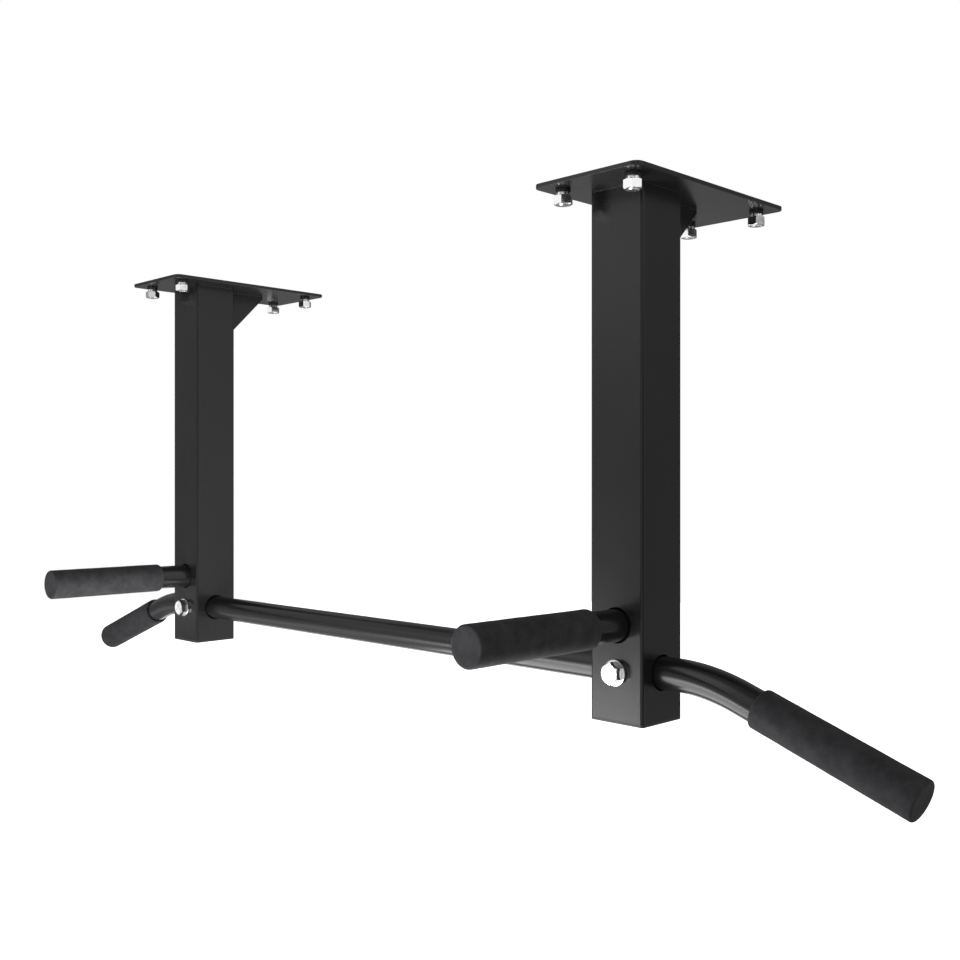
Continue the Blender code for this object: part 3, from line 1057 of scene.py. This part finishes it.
RIPPLE_HEIGHT = 0.07
SLOW_WAVES = ((0.04, 0.37, 2.1), (0.03, 0.83, 5.3))  # height, rate, and what the seed shifts
MEAN_WIDTH = 0.95


def wave(turns: float, seed: float) -> float:
    """Width of a weld bead along its run, next to its mean.

    Args:
        turns: Distance along the bead, in ripples.
        seed: Shifts the slow waves.

    Returns:
        A factor near one.
    """
    ripple = RIPPLE_HEIGHT * abs(math.sin(math.pi * turns))
    slow = sum(height * math.sin(rate * turns + seed * shift) for height, rate, shift in SLOW_WAVES)
    return MEAN_WIDTH + ripple + slow


@dataclass
class Post:
    """Square tube with its laser-cut holes, and the moulded cap in its lower end."""

    layout: Layout
    corner_steps: int = 8
    sleeve_hole: float = 0.0165
    bolt_hole: float = 0.0055
    edge: float = 0.3 * MM
    cap_flange: float = 0.0028
    cap_round: float = 0.0007
    cap_border: float = 0.0024
    cap_edge: float = 0.12 * MM
    panel_slope: float = 0.3 * MM
    panel_depth: float = 0.4 * MM
    plug_inset: float = 0.0028
    plug_clearance: float = 0.0003
    plug_wall: float = 2 * MM
    plug_hollow: float = 13 * MM
    plug_tip: float = 1.2 * MM
    tip_taper: float = 0.98
    ribs: int = 3
    rib_gap: float = 3.6 * MM
    rib_width: float = 0.8 * MM

    def tube(self) -> Workpiece:
        """Make the tube: rolled corners, wall, and four cross-drilled holes.

        Returns:
            The tube, about its own axis.
        """
        layout = self.layout
        side, bar, handle = layout.post_side, layout.bar_axis, layout.handle_axis
        middle = (layout.tube_top + layout.tube_bottom) / 2
        tube = Workpiece.block((side, side, layout.post_length), (0, 0, middle))
        tube.round_uprights(layout.post_corner, self.corner_steps)
        tube.pick(Part.FACE, lambda face: abs(face.normal.z) > MOSTLY)
        bpy.ops.mesh.delete(type="FACE")
        tube.turned_out()
        tube.modify("SOLIDIFY", thickness=layout.post_wall, offset=-1.0, use_even_offset=True)
        for radius, low, high in (
            (self.sleeve_hole, (-side, 0, bar), (side, 0, bar)),
            (layout.lock_hole, (0, -side, bar), (0, side, bar)),
            (self.sleeve_hole, (0, -side, handle), (0, 0, handle)),
            (self.bolt_hole, (0, 0, handle), (0, side, handle)),
        ):
            tube.combine(Workpiece.cylinder(radius, low, high, vertices=72), Cut.REMOVE)
        return tube.soften(self.edge, angle=50.0)

    def cap(self) -> Workpiece:
        """Make the cap: a flange with a shallow panel, and a ribbed, hollow plug in the tube.

        Returns:
            The cap, about the post's axis.
        """
        layout = self.layout
        side, top = layout.post_side, layout.tube_bottom
        middle = top - self.cap_flange / 2
        cap = Workpiece.block((side, side, self.cap_flange), (0, 0, middle))
        cap.round_uprights(layout.post_corner, self.corner_steps)
        cap.pick(Part.EDGE, lambda edge: all(vert.co.z < middle for vert in edge.verts))
        bpy.ops.mesh.bevel(offset=self.cap_round, segments=4, affect="EDGES")
        cap.pick(Part.FACE, lambda face: face.normal.z < -EXACTLY)
        bpy.ops.mesh.inset(thickness=self.cap_border)
        bpy.ops.mesh.inset(thickness=self.panel_slope, depth=-self.panel_depth)
        cap.pick(Part.FACE, lambda face: face.normal.z > EXACTLY)
        bpy.ops.mesh.inset(thickness=self.plug_inset)
        core = side / 2 - self.plug_inset
        grown = side / 2 - layout.post_wall - self.plug_clearance
        hollow = 1 - self.plug_wall / core
        rib = [(self.rib_gap, 1.0), (self.rib_width / 2, grown / core), (self.rib_width, core / grown)]
        tip = [(self.plug_tip, self.tip_taper), (0.0, hollow), (-self.plug_hollow, 1.0)]
        for rise, factor in rib * self.ribs + tip:
            cap.extrude((0, 0, rise), factor, (0, 0, top))
        return cap.turned_out().soften(self.cap_edge, angle=50.0)

    def build(self) -> None:
        """Model a post and its cap, and place them at both sides."""
        tube, cap = self.tube(), self.cap()
        for side in Side:
            place = shifted(self.layout.post_axis(side))
            tube.placed("tube_" + side.label, place, POWDER_COAT, "post_" + side.label)
            cap.placed("end_cap_" + side.label, place, CAP_PLASTIC, "post_end_cap_" + side.label)
        tube.discard()
        cap.discard()


@dataclass
class FoamGrip:
    """Foam sleeve with a closed, rounded end, the same on the bar and on the handles."""

    layout: Layout
    foam: float = 0.003
    length: float = 0.150
    end: float = 0.004
    rounding: float = 0.0022
    rounding_steps: int = 5
    ring_pitch: float = 0.0022
    end_rings: tuple[float, ...] = (0.85, 0.7, 0.55, 0.4, 0.25, 0.1)
    waviness: float = 0.35 * MM
    wave_length: float = 0.018
    fill: float = 0.9
    vertices: int = 96

    def arc(self, radius: float, height: float, start: float) -> list[tuple[float, float]]:
        """A quarter of the sleeve's rounded rim.

        Args:
            radius: Radius of the rounding's centre from the axis.
            height: Height of that centre.
            start: The angle that the quarter starts at.

        Returns:
            Radius and height of each point.
        """
        turn = math.pi / 2 / self.rounding_steps
        angles = [start + step * turn for step in range(self.rounding_steps + 1)]
        return [
            (radius + self.rounding * math.cos(angle), height + self.rounding * math.sin(angle))
            for angle in angles
        ]

    def sleeve(self) -> Workpiece:
        """Make the sleeve along Z, from its open end up to its closed one.

        Returns:
            The sleeve, with rings close enough for the foam's hollows.
        """
        bore = self.layout.tube_radius + self.layout.seat_gap
        outer = bore + self.foam
        shoulder = outer - self.rounding
        straight = self.length - 2 * self.rounding
        rings = round(straight / self.ring_pitch)
        floor = self.length - self.end
        profile = [(0.4 * bore, floor), (bore, floor), (bore, 0.3 * MM)]
        profile += self.arc(shoulder, self.rounding, -math.pi / 2)
        profile += [(outer, self.rounding + straight * step / rings) for step in range(1, rings)]
        profile += self.arc(shoulder, self.length - self.rounding, 0.0)
        profile += [(shoulder * share, self.length) for share in self.end_rings]
        return Workpiece.turned(profile, vertices=self.vertices)

    def put(self, pattern: Workpiece, name: str, place: Matrix, node: str) -> None:
        """Args:
            pattern: The sleeve to copy.
            name: The piece's name.
            place: Where its open end goes.
            node: The CAD node that it stands for.
        """
        piece = pattern.placed(name, place, FOAM_RUBBER, node)
        texture = bpy.data.textures.new("foam_hollows", "CLOUDS")
        texture.noise_scale = self.wave_length
        texture.noise_depth = 2
        # A middle level of one lets the foam only sink in, never swell past its true size.
        Workpiece(piece).modify(
            "DISPLACE", texture=texture, texture_coords="LOCAL", strength=self.waviness, mid_level=1.0
        )
        bpy.ops.object.shade_smooth_by_angle(angle=math.radians(50.0))
        bpy.data.textures.remove(texture)


@dataclass
class PullUpBar:
    """The long bar with its drooping ends and their grips."""

    layout: Layout
    grip: FoamGrip
    stub: float = 0.0147
    bend_radius: float = 0.200
    bend: float = math.radians(20.0)
    neck: float = 0.018
    bend_steps: int = 16

    @property
    def bend_start(self) -> float:
        """Where the bend starts, from the bar's middle."""
        return self.layout.spacing / 2 + self.layout.post_side / 2 + self.stub

    def end(self, side: Side) -> tuple[Vector, Vector]:
        """The end of the bend on one side.

        Args:
            side: Which end of the bar.

        Returns:
            The point on the axis where the bend ends, and the way that the end points.
        """
        sign, cosine, sine = side.value, math.cos(self.bend), math.sin(self.bend)
        along = sign * (self.bend_start + self.bend_radius * sine)
        point = Vector((along, 0, self.layout.bar_axis - self.bend_radius * (1 - cosine)))
        return point, Vector((sign * cosine, 0, -sine))

    def tube(self) -> Workpiece:
        """Make the tube: straight run, bend and end on the right, then the mirror half.

        Returns:
            The tube in place.
        """
        layout = self.layout
        axis, reach = layout.bar_axis, 2 * layout.tube_radius
        tube = Workpiece.hoop(layout.tube_radius, (0, 0, axis), (1, 0, 0))
        tube.edit()
        tube.extrude((self.bend_start, 0, 0))
        bpy.ops.mesh.spin(
            steps=self.bend_steps,
            angle=-self.bend,
            center=(self.bend_start, 0, axis - self.bend_radius),
            axis=(0, 1, 0),
        )
        _, direction = self.end(Side.RIGHT)
        tube.extrude(direction * (self.neck + self.grip.length - self.grip.end - layout.seat_gap))
        tube.modify("MIRROR", use_axis=(True, False, False), use_mirror_merge=True, merge_threshold=1e-5)
        tube.turned_out()
        tube.modify("SOLIDIFY", thickness=layout.tube_wall, offset=-1.0, use_even_offset=True)
        for side in Side:
            low, high = ((layout.post_axis(side), y, axis) for y in (-reach, reach))
            drill = Workpiece.cylinder(layout.lock_hole, low, high, vertices=32)
            tube.combine(drill, Cut.REMOVE)
        return tube.shade(35.0)

    def build(self, sleeve: Workpiece) -> None:
        """Model the tube and place a grip on each end.

        Args:
            sleeve: The grip's pattern.
        """
        tube = self.tube()
        tube.placed("bar_tube", Matrix.Identity(4), POWDER_COAT, "pull_up_bar")
        tube.discard()
        for side in Side:
            point, direction = self.end(side)
            turn = direction.to_track_quat("Z", "Y").to_matrix().to_4x4()
            place = Matrix.Translation(point + self.neck * direction) @ turn
            self.grip.put(sleeve, "bar_sleeve_" + side.label, place, "bar_grip_" + side.label)


@dataclass
class ParallelHandle:
    """Short tube that juts forward from each post, with its grip, bush and flange bolt."""

    layout: Layout
    grip: FoamGrip
    hardware: Hardware
    neck: float = 0.041
    thread: Thread = M10
    across: float = 0.015
    head: float = 0.008
    flange: float = 0.0105
    flange_thickness: float = 0.002
    insert: float = 0.020

    def tube(self) -> Workpiece:
        """Make the tube along Z, from the post's rear wall to its front end.

        Returns:
            The tube.
        """
        layout = self.layout
        rear = layout.post_side / 2 - layout.post_wall - layout.seat_gap
        reach = self.grip.length - self.grip.end - layout.seat_gap
        tube = Workpiece.hoop(layout.tube_radius, (0, 0, 0), (0, 0, 1))
        tube.edit()
        tube.extrude((0, 0, rear + layout.post_side / 2 + self.neck + reach))
        tube.turned_out()
        tube.modify("SOLIDIFY", thickness=layout.tube_wall, offset=-1.0, use_even_offset=True)
        return tube.soften(self.hardware.edge, angle=60.0)

    def flange_bolt(self) -> Workpiece:
        """Make the flange bolt, its flange on the XY plane and its shank pointing down.

        Returns:
            The bolt.
        """
        hardware, layout, thread, rim = self.hardware, self.layout, self.thread, self.flange
        root = self.flange_thickness / 2
        reach = layout.post_wall + 2 * layout.seat_gap + self.insert
        core = thread.diameter / 2 - 0.5 * hardware.thread_depth * thread.pitch
        bolt = hardware.hexagon(self.across, self.head - root, False)
        bolt.edit()
        bpy.ops.transform.translate(value=(0, 0, root))
        flange = Workpiece.turned([
            (core, MM - reach), (core, 0), (rim - 0.3 * MM, 0), (rim, 0.3 * MM), (rim, 0.8 * MM),
            (rim - 0.4 * MM, 1.1 * MM), (self.across / 2 * 0.9, self.flange_thickness + 0.2 * MM),
        ])
        screw = hardware.ridge(thread, -reach, -0.6 * MM)
        return bolt.combine(flange, Cut.ADD).combine(screw, Cut.ADD).shade(hardware.crease)

    def build(self, sleeve: Workpiece) -> None:
        """Model a handle and place one at each post.

        Args:
            sleeve: The grip's pattern.
        """
        layout = self.layout
        tube, bolt = self.tube(), self.flange_bolt()
        half = layout.post_side / 2
        inner = half - layout.post_wall - layout.seat_gap
        for side in Side:
            x, z, label = layout.post_axis(side), layout.handle_axis, side.label
            place = shifted(x, inner, z, FACING_FRONT)
            tube.placed("handle_tube_" + label, place, POWDER_COAT, "parallel_handle_" + label)
            place = shifted(x, -half - self.neck, z, FACING_FRONT)
            self.grip.put(sleeve, "handle_sleeve_" + label, place, "handle_grip_" + label)
            place = shifted(x, half + layout.seat_gap, z, FACING_REAR)
            bolt.placed("flange_bolt_" + label, place, BRIGHT_ZINC, "handle_bolt_" + label)
            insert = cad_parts["handle_insert_" + label]
            insert.data.materials.clear()
            insert.data.materials.append(TURNED_STEEL.material())
        tube.discard()
        bolt.discard()


@dataclass
class LockBolt:
    """Bolt, washers and nut that hold the bar in each post."""

    layout: Layout
    hardware: Hardware
    thread: Thread = M12
    across: float = 0.018
    head: float = 0.0075
    nut: float = 0.0108
    washer_rim: float = 0.0057
    washer: float = 0.0025
    past_nut: float = 0.003
    grip: float = 0.050

    def build(self) -> None:
        """Model each fastener once and place it at both posts."""
        layout, hardware, thread = self.layout, self.hardware, self.thread
        gap = layout.seat_gap
        length = layout.post_side + 2 * self.washer + self.nut + 4 * gap + self.past_nut
        bolt = hardware.bolt(thread, self.across, self.head, self.grip, length)
        washer = hardware.washer(thread.diameter / 2 + hardware.clearance, self.washer_rim, self.washer)
        nut = hardware.nut(thread, self.across, self.nut)
        face = layout.post_side / 2 + gap
        seat = face + self.washer + gap
        for side in Side:
            x, z, label = layout.post_axis(side), layout.bar_axis, side.label
            for pattern, name, node, y, turn in (
                (bolt, "lock_screw_", "lock_bolt_", -seat, FACING_FRONT),
                (nut, "lock_hexnut_", "lock_nut_", seat, FACING_REAR),
                (washer, "lock_ring_front_", "lock_washer_front_", -face, FACING_FRONT),
                (washer, "lock_ring_rear_", "lock_washer_rear_", face, FACING_REAR),
            ):
                pattern.placed(name + label, shifted(x, y, z, turn), BRIGHT_ZINC, node + label)
        for pattern in (bolt, washer, nut):
            pattern.discard()


@dataclass
class CeilingAnchors:
    """The eight anchors: stud end, nut, spring washer and flat washer at each hole.

    nut_turns holds where each nut stopped turning, in degrees, at the left and the right plate.
    """

    layout: Layout
    hardware: Hardware
    mount: CeilingMount
    thread: Thread = M10
    across: float = 0.016
    nut: float = 0.0084
    past_nut: float = 0.0008
    flat_rim: float = 0.0017
    flat: float = 0.0028
    spring_rim: float = 0.0011
    spring: float = 0.0026
    split: float = math.radians(14.0)
    nut_turns: tuple[tuple[float, ...], ...] = ((24.0, 40.0, 40.0, 40.0), (30.0, 30.0, 30.0, 30.0))

    def patterns(self) -> dict[str, tuple[Workpiece, Finish, float]]:
        """Model one anchor.

        Returns:
            Pattern, finish and lowest height of each piece, by its node's word.
        """
        hardware, gap = self.hardware, self.layout.seat_gap
        bore = self.thread.diameter / 2 + hardware.clearance
        flat_low = -(self.layout.plate_thickness + gap + self.flat)
        spring_low = flat_low - gap - self.spring
        nut_low = spring_low - gap - self.nut
        end = nut_low - self.past_nut
        stud = hardware.ridge(self.thread, end, 0, 1.1 * MM)
        flat = hardware.washer(bore, self.flat_rim, self.flat)
        spring = hardware.spring_washer(bore, self.spring_rim, self.spring, self.split)
        nut = hardware.nut(self.thread, self.across, self.nut)
        return {
            "anchor_stud": (stud.shade(hardware.crease), BRIGHT_ZINC, 0.0),
            "flat_washer": (flat, PHOSPHATE, flat_low),
            "spring_washer": (spring, BRIGHT_ZINC, spring_low),
            "anchor_nut": (nut, BRIGHT_ZINC, nut_low),
        }

    def build(self) -> None:
        """Place an anchor at each hole of both plates."""
        patterns = self.patterns()
        for side, turns in zip(Side, self.nut_turns):
            for (x, y), stop in zip(self.mount.places(), turns):
                depth = "front" if y < 0 else "rear"
                width = "outer" if x * side.value > 0 else "inner"
                spot = "{}_{}_{}".format(side.label, depth, width)
                for word, (pattern, finish, low) in patterns.items():
                    turn = math.radians(stop) if word == "anchor_nut" else 0.0
                    place = shifted(self.layout.post_axis(side) + x, y, low, (0, 0, turn))
                    pattern.placed(word + "_at_" + spot, place, finish, word + "_" + spot)
        for pattern, *_ in patterns.values():
            pattern.discard()


@dataclass(frozen=True)
class Softbox:
    """One rectangular soft light, seen by the object and not by the camera.

    Without mirrored, it lights matt surfaces and leaves no image of itself in glossy ones.
    """

    name: str
    centre: tuple[float, float, float]
    target: tuple[float, float, float]
    width: float
    height: float
    brightness: float
    mirrored: bool = True

    def hang(self) -> None:
        """Put the light in the studio, facing its target."""
        lamp = bpy.data.lights.new(self.name, "AREA")
        lamp.shape = "RECTANGLE"
        lamp.size, lamp.size_y = self.width, self.height
        lamp.energy = self.brightness * math.pi * self.width * self.height
        stand = bpy.data.objects.new(self.name, lamp)
        aim = Vector(self.target) - Vector(self.centre)
        stand.location = self.centre
        stand.rotation_euler = aim.to_track_quat("-Z", "Y").to_euler()
        stand.visible_camera = False
        stand.visible_glossy = self.mirrored
        bpy.context.scene.collection.objects.link(stand)


@dataclass
class Studio:
    """Pale floor, soft surround, softboxes and the camera.

    The surround's brightness is the product of two scales, each of angles in degrees and the
    brightness there. by_elevation runs from below to above. by_azimuth runs round the object:
    0 lies beyond it, seen from the camera, 90 to its left, -90 to its right, 180 behind the camera.
    """

    floor_height: float = -1.05
    floor_radius: float = 6.0
    eye: tuple[float, float, float] = (1.0152, -0.8451, -0.2710)
    heading: float = 45.0
    lens: float = 29.865 * 1.42
    sensor: float = 36.0
    surround_strength: float = 0.78
    by_elevation: tuple[tuple[float, float], ...] = (
        (-90, 0.9), (-45, 1.1), (-15, 1.15), (-8, 0.76), (0, 0.74), (12, 0.82), (26, 1.30),
        (46, 1.35), (62, 0.60), (90, 0.45),
    )
    by_azimuth: tuple[tuple[float, float], ...] = (
        (-180, 1.15), (-168, 0.90), (-158, 0.06), (-130, 0.06), (-118, 0.95), (-110, 1.22), (-98, 1.22),
        (-90, 0.70), (-80, 0.42), (-60, 0.40), (-25, 0.30), (-15, 0.25), (-12, 0.32), (0, 0.32),
        (13, 0.26), (22, 0.30), (30, 0.40), (60, 0.56), (76, 0.48), (90, 0.80), (98, 1.00), (108, 1.05),
        (118, 0.75), (135, 0.60), (165, 1.05), (180, 1.15),
    )
    softboxes: tuple[Softbox, ...] = (
        Softbox("low_softbox", (-2.08, -2.67, -1.54), (0.375, -0.03, -0.50), 1.04, 0.88, 6.9),
        Softbox("under_softbox", (0.05, -0.40, -0.80), (0.05, -0.40, 0.0), 0.60, 0.80, 4.4),
        Softbox("under_fill", (0.06, -0.30, -0.70), (-0.10, -0.20, 0.0), 0.40, 0.50, 6.5, False),
        Softbox("floor_softbox", (-1.25, -0.75, -1.04), (-1.25, -0.75, 0.0), 0.90, 0.90, 0.5),
        Softbox("back_softbox", (-0.65, 0.75, -1.04), (-0.65, 0.75, 0.0), 1.90, 0.80, 1.6),
        Softbox("key_softbox", (-2.20, -3.30, 2.30), (0.375, -0.03, 0.20), 2.75, 4.20, 0.45),
        Softbox("side_softbox", (1.85, -0.20, 0.45), (0.40, 0.0, 0.0), 0.60, 0.80, 1.0),
        Softbox("handle_fill", (0.30, 0.22, -0.40), (-0.36, -0.13, -0.40), 0.35, 0.30, 8.0, False),
        Softbox("bolt_softbox", (-1.408, -0.638, -0.577), (-0.375, -0.041, -0.446), 0.08, 0.08, 1.1),
    )

    def floor(self) -> None:
        """Lay the plain pale floor below the object.

        Only the camera sees it. What the object gets from below comes from the softboxes and
        the surround, so the floor stays white without washing out the dark coating.
        """
        Workpiece.clear_bench()
        bpy.ops.mesh.primitive_circle_add(
            vertices=128, radius=self.floor_radius, fill_type="NGON", location=(0, 0, self.floor_height)
        )
        floor = Workpiece().object
        floor.name = "studio_floor"
        paper = bpy.data.materials.new("paper_backdrop_matt")
        paper.use_nodes = True
        shader = paper.node_tree.nodes["Principled BSDF"]
        for name, value in {
            "Base Color": linear("#F4F4F4"),
            "Roughness": 0.9,
            "Emission Color": linear("#FFFFFF"),
            "Emission Strength": 1.0,
        }.items():
            shader.inputs[name].default_value = value
        floor.data.materials.append(paper)
        floor.visible_diffuse = False
        floor.visible_glossy = False
        floor.visible_shadow = False

    @staticmethod
    def ramp(tree: Tree, share: Socket, stops: Pairs) -> Socket:
        """Add a grey ramp.

        Args:
            tree: The world's node tree.
            share: The place on the ramp, from 0 to 1.
            stops: Place and brightness of each stop, in rising order.

        Returns:
            The brightness.
        """
        ramp = add_node(tree, "ShaderNodeValToRGB", links={"Fac": share})
        elements = ramp.color_ramp.elements
        elements.remove(elements[1])
        for number, (place, brightness) in enumerate(stops):
            stop = elements[0] if number == 0 else elements.new(place)
            stop.position = place
            stop.color = (brightness, brightness, brightness, 1.0)
        return ramp.outputs["Color"]

    def surround(self) -> None:
        """Light the object from a soft surround that the camera sees as plain white."""
        world = bpy.data.worlds.new("studio_surround")
        bpy.context.scene.world = world
        world.use_nodes = True
        tree = world.node_tree
        tree.nodes.clear()
        direction = add_node(tree, "ShaderNodeTexCoord").outputs["Generated"]
        height = add_node(tree, "ShaderNodeSeparateXYZ", links={"Vector": direction}).outputs["Z"]
        values = {"From Min": -1.0, "From Max": 1.0}
        rise = add_node(tree, "ShaderNodeMapRange", values, {"Value": height})
        away = -math.radians(self.heading + 90.0)
        turned = add_node(tree, "ShaderNodeMapping", {"Rotation": (0, 0, away)}, {"Vector": direction})
        around = add_node(
            tree,
            "ShaderNodeTexGradient",
            links={"Vector": turned.outputs["Vector"]},
            gradient_type="RADIAL",
        )
        heights = [((math.sin(math.radians(angle)) + 1) / 2, value) for angle, value in self.by_elevation]
        turns = [(angle / 360 + 0.5, value) for angle, value in self.by_azimuth]
        upward = self.ramp(tree, rise.outputs["Result"], heights)
        sideways = self.ramp(tree, around.outputs["Fac"], turns)
        both = add_node(
            tree,
            "ShaderNodeMix",
            {0: 1.0},
            {6: upward, 7: sideways},
            data_type="RGBA",
            blend_type="MULTIPLY",
        )
        strength = {"Strength": self.surround_strength}
        glow = add_node(tree, "ShaderNodeBackground", strength, {"Color": both.outputs[2]})
        plain = add_node(tree, "ShaderNodeBackground", {"Color": linear("#FFFFFF"), "Strength": 1.0})
        seen = add_node(tree, "ShaderNodeLightPath").outputs["Is Camera Ray"]
        shown = {0: seen, 1: glow.outputs["Background"], 2: plain.outputs["Background"]}
        mixed = add_node(tree, "ShaderNodeMixShader", links=shown)
        add_node(tree, "ShaderNodeOutputWorld", links={"Surface": mixed.outputs["Shader"]})

    def camera(self) -> None:
        """Place the camera, level and at 45 degrees to the bar."""
        lens = bpy.data.cameras.new("studio_camera")
        lens.sensor_width = self.sensor
        lens.lens = self.lens
        lens.clip_start = 0.01
        stand = bpy.data.objects.new("studio_camera", lens)
        stand.location = self.eye
        stand.rotation_euler = (math.pi / 2, 0, math.radians(self.heading))
        bpy.context.scene.collection.objects.link(stand)
        bpy.context.scene.camera = stand

    def build(self) -> None:
        """Set up the floor, the light and the camera."""
        self.floor()
        self.surround()
        for softbox in self.softboxes:
            softbox.hang()
        self.camera()
        bpy.context.scene.view_settings.view_transform = "Standard"


def main() -> None:
    """Build the whole scene."""
    logging.basicConfig(level=logging.INFO, format="%(name)s %(message)s")
    layout = Layout()
    hardware = Hardware()
    grip = FoamGrip(layout)
    mount = CeilingMount(layout)
    mount.build()
    Post(layout).build()
    sleeve = grip.sleeve()
    PullUpBar(layout, grip).build(sleeve)
    ParallelHandle(layout, grip, hardware).build(sleeve)
    sleeve.discard()
    LockBolt(layout, hardware).build()
    CeilingAnchors(layout, hardware, mount).build()
    Studio().build()


if __name__ == "__main__":
    main()
